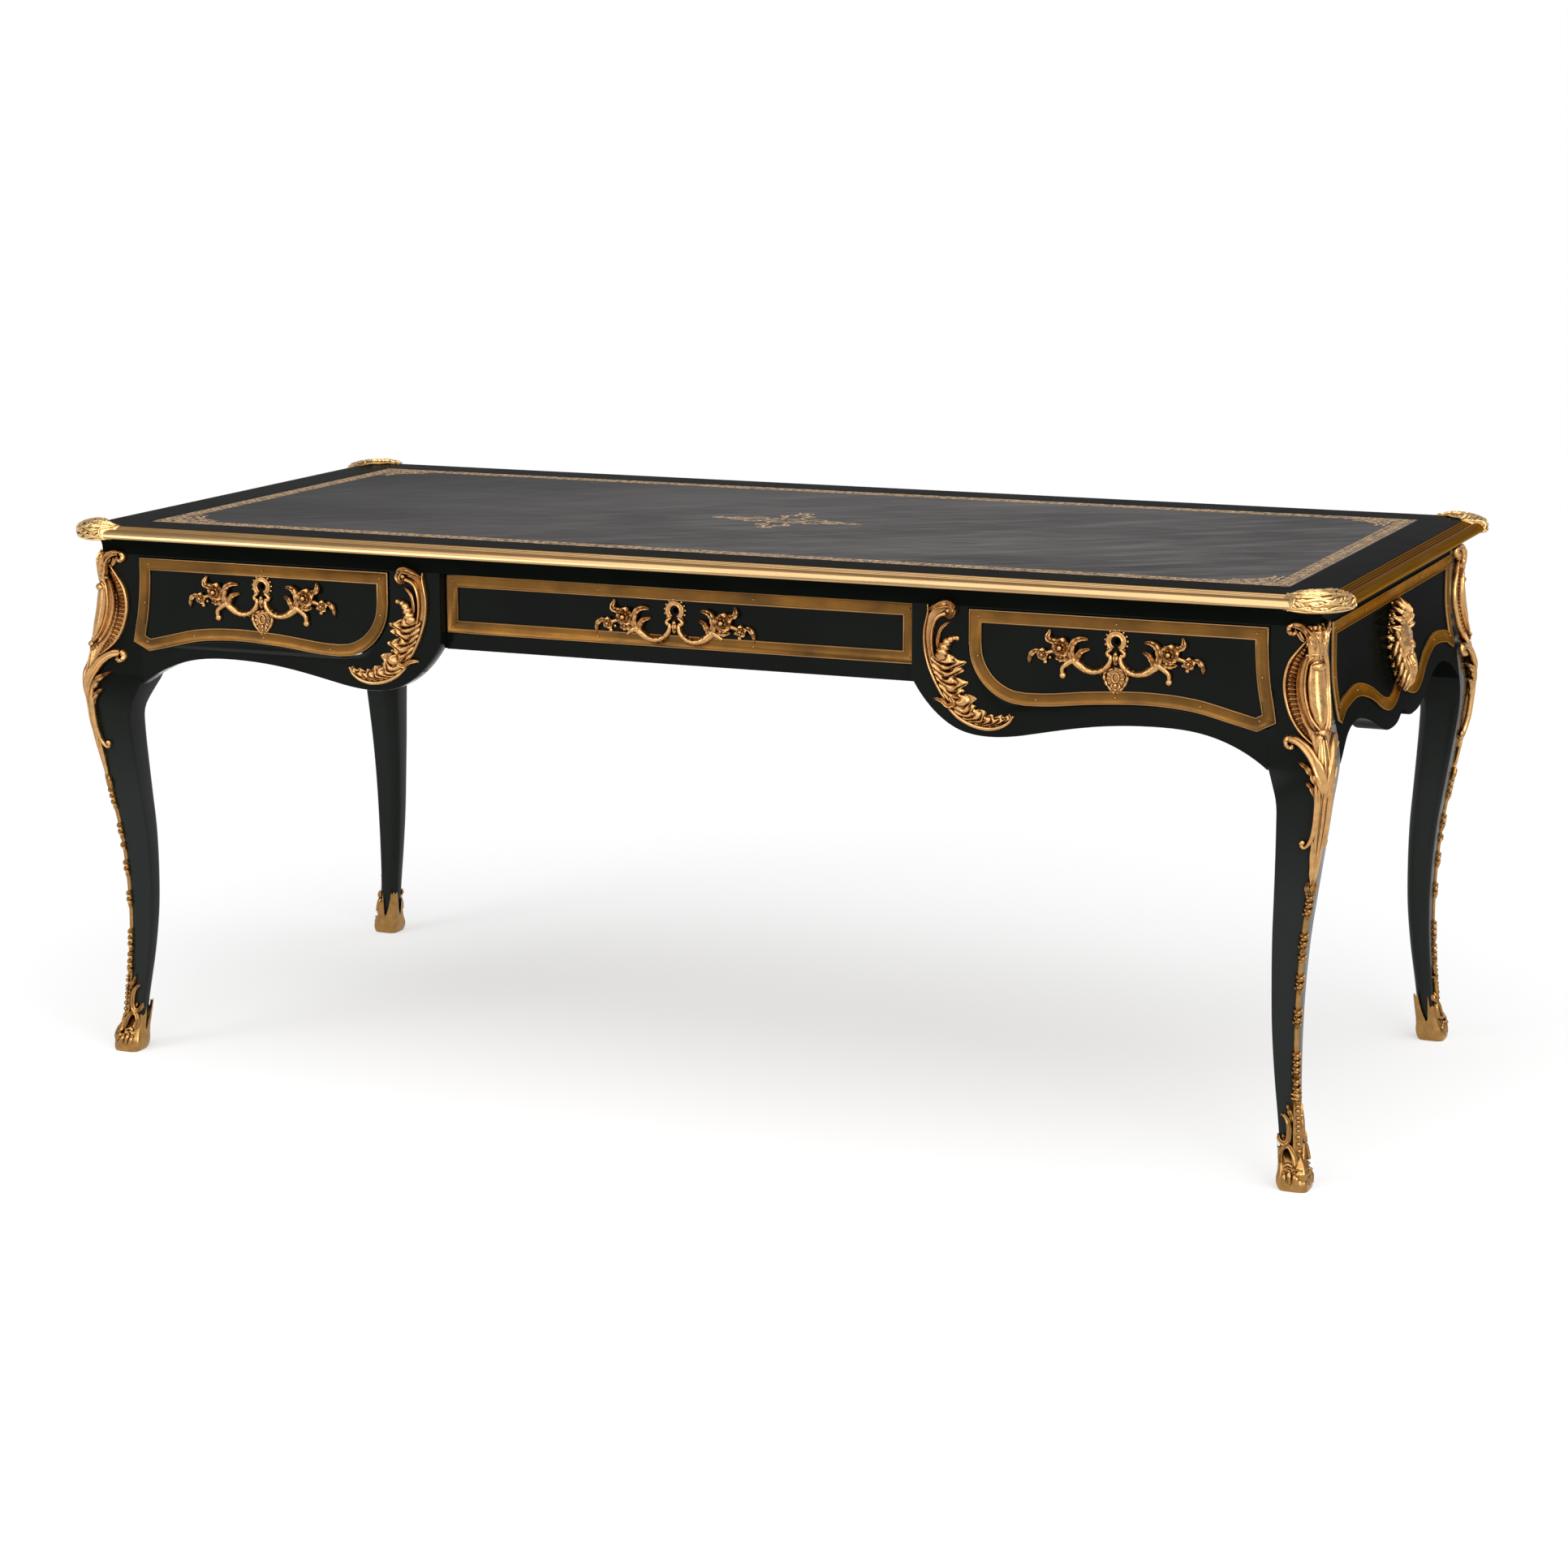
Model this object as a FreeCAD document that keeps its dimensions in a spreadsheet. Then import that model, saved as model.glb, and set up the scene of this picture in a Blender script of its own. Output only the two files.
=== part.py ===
"""Bureau plat: an ebonised writing desk with three drawers and gilt-bronze mounts.

Millimetres. +X runs along the desk, the drawers open towards -Y, +Z is up.
The origin is on the floor, under the middle of the top.
"""
import FreeCAD, Part
import os
import re
import Sketcher
from FreeCAD import Vector

doc = FreeCAD.newDocument("bureau_plat")
sheet = doc.addObject("Spreadsheet::Sheet", "sizes")

# Driving dimensions
SIZES = {
    # The whole desk: floor to moulding, and the frame over the faces of its corner posts
    "top_height": 780,
    "frame_length": 1778,
    "frame_depth": 814,
    # Top, with its reach measured outwards from the frame
    "top_overhang": 40,
    "moulding_width": 29,
    "moulding_height": 18,
    "moulding_lip": 2,
    "surround_width": 60,
    "surround_thickness": 20,
    "tongue_reach": 20,
    "leather_thickness": 1.6,
    "leather_recess": 0.4,
    "cornice_height": 22,
    "cornice_reach": 20,
    "cornice_foot": 2,
    "corner_radius": 65,
    "corner_arm": 25,
    "corner_swell": 5,
    "corner_crown": 3,
    "corner_round": 5,
    "corner_bulge_low": 6,
    "corner_bulge_high": 12,
    "corner_lip": 8,
    # Carcass boards
    "post_width": 60,
    "front_thickness": 24,
    "board_thickness": 20,
    "top_rail_height": 24,
    "top_rail_depth": 45,
    "knee_half": 347,
    "centre_setback": 20,
    "centre_rail_height": 22,
    "apron_knee_drop": 97,
    "apron_low_drop": 168.5,
    "apron_arch_drop": 140,
    "apron_post_drop": 185,
    "side_cusp_drop": 168.5,
    "side_lobe_drop": 184,
    "side_arch_drop": 143,
    "side_post_drop": 182,
    # Legs and their mounts
    "shoulder_drop": 34,
    "leg_arris": 3,
    "toe_clearance": 6,
    "sabot_height": 68,
    "chute_height": 350,
    "chute_clearance": 1,
    "fillet_width": 7,
    "fillet_relief": 3.5,
    # Drawers
    "stile_width": 79,
    "drawer_gap": 1.2,
    "drawer_drop": 124,
    "drawer_round": 78,
    "drawer_front_thickness": 22,
    "drawer_depth": 560,
    "drawer_wall": 12,
    "drawer_bottom_thickness": 8,
    "drawer_groove": 6,
    "drawer_head_room": 12,
    "centre_drawer_height": 84,
    "side_floor_drop": 84,
    "centre_floor_drop": 76,
    "box_inset": 12,
    "runner_height": 18,
    "outer_runner_height": 50,
    "runner_bearing": 14,
    "running_clearance": 0.3,
    "stop_length": 14,
    "stop_height": 12,
    # Locks
    "lock_width": 60,
    "lock_height": 60,
    "lock_depth": 12,
    "bolt_width": 18,
    "bolt_depth": 6,
    "bolt_length": 15,
    "bolt_throw": 9,
    "bolt_clearance": 0.4,
    "keyhole_drop": 32,
    "keyhole_radius": 4,
    # Flat brass bandings and cast mounts
    "banding_width": 17.5,
    "banding_relief": 3,
    "scroll_relief": 12,
    "mask_width": 72,
    "mask_height": 126,
    "mask_relief": 26,
    "pull_relief": 7,
}

# Sizes worked out from the driving ones
WORKED = {
    "half_x": "=frame_length / 2",
    "half_y": "=frame_depth / 2",
    "post_x": "=half_x - post_width",
    "post_y": "=half_y - post_width",
    "moulding_base": "=top_height - moulding_height",
    "surround_top": "=top_height - moulding_lip",
    "carcass_top": "=surround_top - surround_thickness",
    "surround_edge": "=top_overhang - moulding_width",
    "leather_x": "=half_x + surround_edge - surround_width",
    "leather_y": "=half_y + surround_edge - surround_width",
    "leather_top": "=surround_top - leather_recess",
    "panel_top": "=leather_top - leather_thickness",
    "corner_length": "=corner_radius + corner_arm",
    "head": "=carcass_top - top_rail_height",
    "front_back": "=half_y - front_thickness",
    "centre_face": "=half_y - centre_setback",
    "centre_back": "=centre_face - front_thickness",
    "partition_x": "=knee_half + board_thickness",
    "rail_top": "=head - centre_drawer_height",
    "rail_base": "=rail_top - centre_rail_height",
    "shoulder": "=head - shoulder_drop",
    "drawer_left": "=knee_half + stile_width + drawer_gap",
    "drawer_right": "=post_x - drawer_gap",
    "drawer_middle": "=(drawer_left + drawer_right) / 2",
    "drawer_top": "=head - drawer_gap",
    "centre_edge": "=knee_half - drawer_gap",
    "side_floor": "=head - side_floor_drop",
    "centre_floor": "=head - centre_floor_drop",
    "side_back": "=half_y - drawer_front_thickness",
    "centre_drawer_back": "=centre_face - drawer_front_thickness",
    "box_top": "=drawer_top - drawer_head_room",
    "keyhole_z": "=head - keyhole_drop",
}

ACROSS = Vector(1, 0, 0)
FRONT_TO_BACK = Vector(0, 1, 0)

nodes = []


def fill_sheet():
    cells = list(SIZES.items()) + list(WORKED.items())
    for row, (alias, content) in enumerate(cells, 1):
        sheet.set(f"A{row}", alias)
        sheet.set(f"B{row}", str(content))
        sheet.setAlias(f"B{row}", alias)
    doc.recompute()


def mm(alias):
    return float(sheet.get(alias))


def bound(text):
    """The same sum, written with the sheet's cells."""
    return re.sub(r"[a-z]\w*", r"sizes.\g<0>", text)


def node(piece, label):
    piece.Label = label
    nodes.append(piece)
    return piece


def block(name, x, y, z):
    """A square-edged board; each axis has its low and high face."""
    piece = doc.addObject("Part::Box", name)
    for axis, length, faces in zip("xyz", ("Length", "Width", "Height"), (x, y, z)):
        low, high = faces
        piece.setExpression(length, bound(f"({high}) - ({low})"))
        piece.setExpression(f"Placement.Base.{axis}", bound(low))
    return piece


def bore(name, radius, x, y, z, depth):
    """A round hole's tool that runs towards +Y."""
    piece = doc.addObject("Part::Cylinder", name)
    piece.setExpression("Radius", bound(radius))
    piece.setExpression("Height", bound(depth))
    piece.Placement.Rotation = FreeCAD.Rotation(ACROSS, -90)
    for axis, place in zip("xyz", (x, y, z)):
        piece.setExpression(f"Placement.Base.{axis}", bound(place))
    return piece


def cut(name, base, *tools):
    for index, tool in enumerate(tools):
        piece = doc.addObject("Part::Cut", f"{name}_{index}")
        piece.Base = base
        piece.Tool = tool
        base = piece
    return base


def mirrored(name, source, normal):
    piece = doc.addObject("Part::Mirroring", name)
    piece.Source = source
    piece.Normal = normal
    return piece


def group(name, pieces):
    piece = doc.addObject("Part::Compound", name)
    piece.Links = pieces
    return piece


def shaped(name, shape):
    piece = doc.addObject("Part::Feature", name)
    piece.Shape = shape
    return piece


def outline_sketch(body, role, name, points):
    """A closed outline on one of the body's own planes; points are pairs of sums."""
    sketch = body.newObject("Sketcher::SketchObject", name)
    plane = next(part for part in body.Origin.OriginFeatures if part.Role == role)
    sketch.AttachmentSupport = (plane, [""])
    sketch.MapMode = "FlatFace"
    corners = []
    for pair in points:
        across, up = (float(sheet.evalExpression(bound(sum_text))) for sum_text in pair)
        corners.append(Vector(across, up, 0))
    count = len(corners)
    for index in range(count):
        sketch.addGeometry(Part.LineSegment(corners[index], corners[(index + 1) % count]), False)
    for index in range(count):
        sketch.addConstraint(Sketcher.Constraint("Coincident", index, 2, (index + 1) % count, 1))
    for index, pair in enumerate(points):
        for kind, sum_text, place in zip(("DistanceX", "DistanceY"), pair, corners[index]):
            constraint = sketch.addConstraint(Sketcher.Constraint(kind, -1, 1, index, 1, place))
            sketch.setExpression(f"Constraints[{constraint}]", bound(sum_text))
    return sketch


def strip(name, role, profile, length, mitre_depth=None):
    """A straight moulding: its profile padded both ways, its ends square or mitred at 45 degrees."""
    body = doc.addObject("PartDesign::Body", name)
    pad = body.newObject("PartDesign::Pad", f"{name}_pad")
    pad.Profile = outline_sketch(body, role, f"{name}_profile", profile)
    pad.SideType = "Symmetric"
    pad.setExpression("Length", bound(length))
    if mitre_depth is None:
        return body
    reach = "top_overhang"
    near = (f"half_x - ({mitre_depth})", f"half_y - ({mitre_depth})")
    far = (f"half_x + {reach}", f"half_y + {reach}")
    for hand, sign in (("right", ""), ("left", "-")):
        if role == "YZ_Plane":
            waste = [(f"{sign}({near[0]})", f"-({near[1]})"), (f"{sign}({far[0]})", f"-({far[1]})"),
                     (f"{sign}({far[0]})", f"-({near[1]})")]
        else:
            waste = [(near[0], f"{sign}({near[1]})"), (far[0], f"{sign}({far[1]})"),
                     (near[0], f"{sign}({far[1]})")]
        pocket = body.newObject("PartDesign::Pocket", f"{name}_mitre_{hand}")
        pocket.Profile = outline_sketch(body, "XY_Plane", f"{name}_waste_{hand}", waste)
        pocket.Type = "ThroughAll"
        pocket.SideType = "Symmetric"
    return body


def four_sided(name, profile, long_length, short_length, mitre_depth):
    """Mitred strips round the frame; the profile gives reach from the frame and height."""
    front = strip(f"{name}_front", "YZ_Plane", [(f"-(half_y + {out})", up) for out, up in profile],
                  long_length, mitre_depth)
    right = strip(f"{name}_right", "XZ_Plane", [(f"half_x + {out}", up) for out, up in profile],
                  short_length, mitre_depth)
    return [front, mirrored(f"{name}_back", front, FRONT_TO_BACK),
            right, mirrored(f"{name}_left", right, ACROSS)]


def edge_through(points):
    """A straight edge through two points, or a smooth curve through more."""
    if len(points) == 2:
        return Part.makeLine(*points)
    curve = Part.BSplineCurve()
    curve.interpolate(points)
    return curve.toShape()


def slab(edges, low, high, axis):
    """A board with a curved outline, between two places along an axis."""
    face = Part.Face(Part.Wire(edges))
    face.translate(axis * low)
    return face.extrude(axis * (high - low))


# Cove under the top: shares of its reach and of its drop
COVE = [(0.2, 0.45), (0.55, 0.15)]

# Rounded face of the top's moulding: distance in from its outer edge, and height above a named level
MOULDING_CURVE = [(7.0, "moulding_base", 0.0), (1.5, "moulding_base", 3.5), (0.0, "moulding_base", 7.5),
                  (2.0, "top_height", -6.0), (7.0, "top_height", -3.5), (12.0, "top_height", -2.0),
                  (24.0, "top_height", -0.6)]


def build_top():
    surround = [("surround_edge - surround_width", "carcass_top"), ("tongue_reach", "carcass_top"),
                ("tongue_reach", "moulding_base"), ("surround_edge", "moulding_base"),
                ("surround_edge", "surround_top"), ("surround_edge - surround_width", "surround_top")]
    boards = four_sided("surround", surround, "frame_length + 2 * tongue_reach",
                        "frame_depth + 2 * tongue_reach", "surround_width")
    top_surround = node(group("surround_boards", boards), "top_surround")

    foot = "carcass_top - cornice_height"
    hollow = [(f"cornice_foot + (cornice_reach - cornice_foot) * {out}",
               f"carcass_top - cornice_height * {drop}") for out, drop in COVE]
    cornice = [("0", foot), ("cornice_foot", foot), *hollow, ("cornice_reach", "carcass_top"),
               ("0", "carcass_top")]
    coves = four_sided("cornice", cornice, "frame_length + 2 * cornice_reach",
                       "frame_depth + 2 * cornice_reach", "cornice_foot")
    cornice_moulding = node(group("cornice_strips", coves), "cornice_moulding")

    leather_place = (("-leather_x", "leather_x"), ("-leather_y", "leather_y"))
    node(block("panel", *leather_place, ("carcass_top", "panel_top")), "top_panel")
    node(block("leather", *leather_place, ("panel_top", "leather_top")), "writing_leather")

    face = [(f"top_overhang - {inset}", f"{level} + ({rise})") for inset, level, rise in MOULDING_CURVE]
    moulding = [("surround_edge", "moulding_base"), *face, ("surround_edge", "top_height")]
    front = strip("moulding_front", "YZ_Plane", [(f"-(half_y + {out})", up) for out, up in moulding],
                  "frame_length + 2 * (top_overhang - corner_length)")
    right = strip("moulding_right", "XZ_Plane", [(f"half_x + {out}", up) for out, up in moulding],
                  "frame_depth + 2 * (top_overhang - corner_length)")
    back = mirrored("moulding_back", front, FRONT_TO_BACK)
    left = mirrored("moulding_left", right, ACROSS)
    node(group("long_mouldings", [front, back]), "edge_mouldings_long")
    node(group("short_mouldings", [right, left]), "edge_mouldings_short")
    doc.recompute()
    four_corners(corner_mount(top_surround.Shape, cornice_moulding.Shape), "top_corner_mount")


def corner_mount(surround, cornice):
    """The clasp on the top's front right corner: the moulding's swollen section, turned round the corner."""
    radius = mm("corner_radius")
    inset = mm("top_overhang") - radius
    centre = Vector(mm("half_x") + inset, -(mm("half_y") + inset), 0)
    inner = radius - mm("moulding_width")
    lip = inner - mm("corner_lip")
    outer = radius + mm("corner_swell")
    base = mm("moulding_base")
    top = mm("top_height") + mm("corner_crown")
    shoulder = radius - mm("corner_round")
    profile = [(inner, base), (shoulder, base), (outer, base + mm("corner_bulge_low")),
               (outer, base + mm("corner_bulge_high")), (shoulder, top), (lip, top),
               (lip, mm("surround_top")), (inner, mm("surround_top"))]
    corners = [centre + Vector(reach, 0, up) for reach, up in profile]
    face = Part.Face(Part.makePolygon(corners + corners[:1]))
    side_arm = face.extrude(Vector(0, mm("corner_arm"), 0))
    turn = face.revolve(centre, Vector(0, 0, 1), -90)
    front_face = face.rotated(centre, Vector(0, 0, 1), -90)
    front_arm = front_face.extrude(Vector(-mm("corner_arm"), 0, 0))
    return turn.fuse([side_arm, front_arm]).removeSplitter().cut([surround, cornice])


def four_corners(shape, label):
    """The front right piece, and its copies at the other three corners."""
    front_right = node(shaped(f"{label}_shape", shape), f"{label}_front_right")
    node(mirrored(f"{label}_fl", front_right, ACROSS), f"{label}_front_left")
    back_right = node(mirrored(f"{label}_br", front_right, FRONT_TO_BACK), f"{label}_back_right")
    node(mirrored(f"{label}_bl", back_right, ACROSS), f"{label}_back_left")


# Leg levels: share of the shoulder's height, swell of the arris beyond the frame, width of the leg, and how
# far the inner edges still follow the post and aprons (1) or have become the free leg (0)
LEG_LEVELS = [
    (1.000, 0.0, 60.0, 1.0), (0.943, 1.5, 60.0, 1.0), (0.893, 7.0, 60.0, 1.0), (0.843, 14.5, 61.0, 1.0),
    (0.800, 19.0, 62.0, 1.0), (0.764, 19.5, 61.0, 0.55), (0.729, 17.5, 60.0, 0.1), (0.686, 14.0, 58.0, 0.0),
    (0.614, 6.5, 52.5, 0.0), (0.543, -1.0, 47.5, 0.0), (0.471, -8.0, 43.0, 0.0), (0.386, -13.0, 38.5, 0.0),
    (0.300, -15.0, 35.0, 0.0), (0.214, -14.0, 31.0, 0.0), (0.129, -10.5, 27.0, 0.0), (0.071, -7.0, 25.5, 0.0),
    (0.029, -1.0, 26.0, 0.0), (0.000, 2.0, 26.0, 0.0),
]
LEG_CHAMFER_SHARE = 0.2


def leg_at(height):
    """Swell, width and following share of the leg at a height."""
    share = height / mm("shoulder")
    if share >= LEG_LEVELS[0][0]:
        return LEG_LEVELS[0][1:]
    for above, below in zip(LEG_LEVELS, LEG_LEVELS[1:]):
        if share >= below[0]:
            part = (share - below[0]) / (above[0] - below[0])
            return tuple(low + (high - low) * part for low, high in zip(below[1:], above[1:]))
    return LEG_LEVELS[-1][1:]


def arris_at(height):
    swell = leg_at(height)[0]
    return mm("half_x") + swell, mm("half_y") + swell


def leg_section(height):
    """The leg's outline in plan: a square with its arris and its inner corner taken off."""
    swell, width, follow = leg_at(height)
    x, y = arris_at(height)
    width = width * mm("post_width") / LEG_LEVELS[0][2]
    free = 1 - follow
    arris = mm("leg_arris")
    chamfer = arris + LEG_CHAMFER_SHARE * width * free
    inner_x = follow * mm("post_x") + free * (x - width)
    inner_y = follow * mm("post_y") + free * (y - width)
    front_y = follow * mm("half_y") + free * y
    plan = [(x - arris, y), (x, y - arris), (x, inner_y), (inner_x + chamfer, inner_y),
            (inner_x, inner_y + chamfer), (inner_x, front_y)]
    return plan_wire(plan, height)


def plan_wire(plan, height):
    """A closed outline at a height; distances from the desk's middle, in the front right quarter."""
    corners = [Vector(x, -y, height) for x, y in plan]
    return Part.makePolygon(corners + corners[:1])


def loft(wires):
    return Part.makeLoft(wires, True, True)


def build_legs():
    toe = mm("toe_clearance")
    heights = [share * mm("shoulder") for share, *_ in LEG_LEVELS if share * mm("shoulder") > toe] + [toe]
    post = Part.makeBox(mm("post_width"), mm("post_width"), mm("carcass_top") - mm("shoulder"),
                        Vector(mm("post_x"), -mm("half_y"), mm("shoulder")))
    leg = loft([leg_section(height) for height in heights]).fuse(post).removeSplitter()
    four_corners(leg, "leg")
    four_corners(sabot(leg), "sabot")
    four_corners(chute(leg), "leg_chute")
    fillet = shaped("fillet_fr", arris_fillet(leg))
    front_left = mirrored("fillet_fl", fillet, ACROSS)
    back_right = mirrored("fillet_br", fillet, FRONT_TO_BACK)
    back_left = mirrored("fillet_bl", back_right, ACROSS)
    node(group("fillets", [fillet, front_left, back_right, back_left]), "leg_fillets")


# Sabot levels: share of its height, and thickness of its wall
SABOT_LEVELS = [(0.0, 7.0), (0.25, 7.5), (0.6, 4.5), (1.0, 3.0)]


def sabot(leg):
    """A cast shoe round the toe; its wall is thickest at the sole."""
    top = mm("sabot_height")
    wires = []
    for share, wall in SABOT_LEVELS:
        height = share * top
        _, width, _ = leg_at(height)
        width = width * mm("post_width") / LEG_LEVELS[0][2]
        x, y = arris_at(height)
        plan = [(x + wall, y + wall), (x + wall, y - width - wall), (x - width - wall, y - width - wall),
                (x - width - wall, y + wall)]
        wires.append(plan_wire(plan, height))
    return loft(wires).cut(leg)


# Chute levels: share of its height, width of each wing, relief of the middle and relief of the wing's edge
CHUTE_LEVELS = [
    (1.00, 30.0, 12.0, 5.0), (0.93, 32.0, 12.0, 5.0), (0.86, 15.0, 9.0, 5.0), (0.83, 22.0, 9.0, 4.0),
    (0.74, 44.0, 12.0, 4.0), (0.65, 45.0, 12.0, 4.0), (0.57, 36.0, 10.0, 4.0), (0.50, 42.0, 9.0, 4.0),
    (0.42, 28.0, 8.0, 4.0), (0.34, 20.0, 7.0, 4.0), (0.22, 15.0, 6.0, 3.5), (0.10, 12.0, 5.0, 3.5),
    (0.00, 9.0, 4.5, 3.5),
]
CHUTE_SEAT = 14.0


def chute_span():
    top = mm("carcass_top") - mm("cornice_height") - mm("chute_clearance")
    return top - mm("chute_height"), top


def hugging_wire(height, wing, relief, edge):
    """A chevron that wraps the arris; what lies inside the wood is cut away later."""
    x, y = arris_at(height)
    plan = [(x - wing, y - CHUTE_SEAT), (x - wing, y + edge), (x + relief, y + relief), (x + edge, y - wing),
            (x - CHUTE_SEAT, y - wing), (x - CHUTE_SEAT, y - CHUTE_SEAT)]
    if wing <= CHUTE_SEAT:
        plan[0], plan[4] = (x - wing, y - wing / 2), (x - wing / 2, y - wing)
        plan[5] = (x - wing / 2, y - wing / 2)
    return plan_wire(plan, height)


def chute(leg):
    low, high = chute_span()
    wires = [hugging_wire(low + share * (high - low), wing, relief, edge)
             for share, wing, relief, edge in CHUTE_LEVELS]
    return loft(wires).cut(leg)


def arris_fillet(leg):
    """The thin rod that runs down the arris from the chute to the sabot."""
    high, _ = chute_span()
    low = mm("sabot_height")
    levels = [high] + [share * mm("shoulder") for share, *_ in LEG_LEVELS
                       if low < share * mm("shoulder") < high] + [low]
    wing, relief = mm("fillet_width"), mm("fillet_relief")
    return loft([hugging_wire(height, wing, relief, relief) for height in levels]).cut(leg)


# Lower edge of a pedestal's apron from the kneehole to the leg: share of its width, and drop below the
# drawer head as a named size and a rise from it
APRON_CURVE = [(0.0, "apron_knee_drop", 0), (0.068, "apron_knee_drop", -43), (0.143, "apron_low_drop", 5.5),
               (0.2, "apron_low_drop", 0), (0.392, "apron_low_drop", 11.5), (0.55, "apron_arch_drop", -4),
               (0.691, "apron_arch_drop", 0), (0.824, "apron_arch_drop", -5), (0.93, "apron_post_drop", 22),
               (1.0, "apron_post_drop", 0)]

# Lower edge of a side drawer: share of the run beyond its rounded corner, and rise from the corner's foot
DRAWER_WAVE = [(0.0, 0.0), (0.3, 8.0), (0.51, 11.5), (0.73, 6.0), (1.0, -8.0)]


def apron_points():
    knee, head = mm("knee_half"), mm("head")
    width = mm("post_x") - knee
    return [Vector(knee + share * width, 0, head - mm(drop) + rise) for share, drop, rise in APRON_CURVE]


def drawer_edges(inset):
    """Outline of a side drawer's front, drawn in by an inset: straight head, round corner and waved foot."""
    left = mm("drawer_left") + inset
    right = mm("drawer_right") - inset
    top = mm("drawer_top") - inset
    foot = mm("head") - mm("drawer_drop") + inset
    radius = mm("drawer_round") - inset
    corner = Vector(left + radius, 0, foot + radius)
    start = corner + Vector(-radius, 0, 0)
    middle = corner + Vector(-radius, 0, -radius).normalize() * radius
    run = right - corner.x
    wave = [Vector(corner.x + share * run, 0, foot + rise) for share, rise in DRAWER_WAVE]
    head_left = Vector(left, 0, top)
    head_right = Vector(right, 0, top)
    round_corner = Part.Arc(start, middle, wave[0]).toShape()
    return [round_corner, edge_through(wave), Part.makeLine(wave[-1], head_right),
            Part.makeLine(head_right, head_left), Part.makeLine(head_left, start)]


def pedestal_edges(top):
    """Outline of the board round a side drawer, from the kneehole to the leg."""
    curve = apron_points()
    top_left = Vector(mm("knee_half"), 0, top)
    top_right = Vector(mm("post_x"), 0, top)
    return [Part.makeLine(top_left, curve[0]), edge_through(curve), Part.makeLine(curve[-1], top_right),
            Part.makeLine(top_right, top_left)]


def build_front():
    half_y, back = mm("half_y"), mm("front_back")
    board = slab(pedestal_edges(mm("head")), -half_y, -back, FRONT_TO_BACK)
    opening = slab(drawer_edges(-mm("drawer_gap")), -half_y, -back, FRONT_TO_BACK)
    apron = node(shaped("apron_shape", board.cut(opening)), "front_apron_right")
    node(mirrored("apron_mirror", apron, ACROSS), "front_apron_left")

    rail = block("top_rail", ("-post_x", "post_x"), ("-half_y", "-half_y + top_rail_depth"),
                 ("head", "carcass_top"))
    recess = block("top_rail_recess", ("-knee_half", "knee_half"), ("-half_y", "-centre_face"),
                   ("head", "carcass_top"))
    mortises = [block(f"mortise_{hand}", (f"{middle} - bolt_width / 2 - bolt_clearance",
                                          f"{middle} + bolt_width / 2 + bolt_clearance"),
                      (f"-{back_face} + lock_depth / 2 - bolt_depth / 2 - bolt_clearance",
                       f"-{back_face} + lock_depth / 2 + bolt_depth / 2 + bolt_clearance"),
                      ("head", "head + bolt_throw + bolt_clearance"))
                for hand, middle, back_face in LOCK_PLACES]
    node(cut("top_rail_cut", rail, recess, *mortises), "front_top_rail")
    node(block("rail", ("-knee_half", "knee_half"), ("-centre_face", "-centre_back"),
               ("rail_base", "rail_top")), "centre_rail")


LOCK_PLACES = [("right", "drawer_middle", "side_back"), ("centre", "0", "centre_drawer_back"),
               ("left", "-drawer_middle", "side_back")]


def build_back():
    """One board behind everything, shaped like the front, with its middle set in."""
    half_y, back, top = mm("half_y"), mm("front_back"), mm("carcass_top")
    pedestal = slab(pedestal_edges(top), back, half_y, FRONT_TO_BACK)
    other = pedestal.mirror(Vector(), ACROSS)
    wide, narrow = mm("partition_x"), mm("knee_half")
    backing = Part.makeBox(2 * wide, back - mm("centre_back"), top - mm("rail_base"),
                           Vector(-wide, mm("centre_back"), mm("rail_base")))
    face = Part.makeBox(2 * narrow, mm("centre_face") - back, top - mm("rail_base"),
                        Vector(-narrow, back, mm("rail_base")))
    node(shaped("back_board", pedestal.fuse([other, backing, face]).removeSplitter()), "back_frieze")


# Side apron from its middle to the leg: share of the half width, and drop below the drawer head
SIDE_CURVE = [(0.0, "side_cusp_drop", 0), (0.09, "side_lobe_drop", 3), (0.18, "side_lobe_drop", 0),
              (0.3, "side_lobe_drop", 5), (0.5, "side_arch_drop", -12), (0.68, "side_arch_drop", 0),
              (0.85, "side_arch_drop", -9), (1.0, "side_post_drop", 0)]
SIDE_FRAME_RISE = 30.0
SIDE_FRAME_MARGIN = 12.0
SIDE_FRAME_TIP = 14.0


def side_curve(width, rise, follow_to_leg):
    """Double wave with a cusp in the middle, as two mirrored curves; the frame's stops short of the leg."""
    points = [(share * width, mm("head") - mm(drop) + extra + rise) for share, drop, extra in SIDE_CURVE]
    if not follow_to_leg:
        points[-1] = (width, mm("head") - mm("side_arch_drop") - SIDE_FRAME_TIP + rise)
    right = [Vector(0, y, z) for y, z in points]
    left = [Vector(0, -y, z) for y, z in reversed(points)]
    return left, right


def side_edges(width, top, rise, follow_to_leg):
    left, right = side_curve(width, rise, follow_to_leg)
    corner_left = Vector(0, -width, top)
    corner_right = Vector(0, width, top)
    return [edge_through(left), edge_through(right), Part.makeLine(right[-1], corner_right),
            Part.makeLine(corner_right, corner_left), Part.makeLine(corner_left, left[0])]


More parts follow.
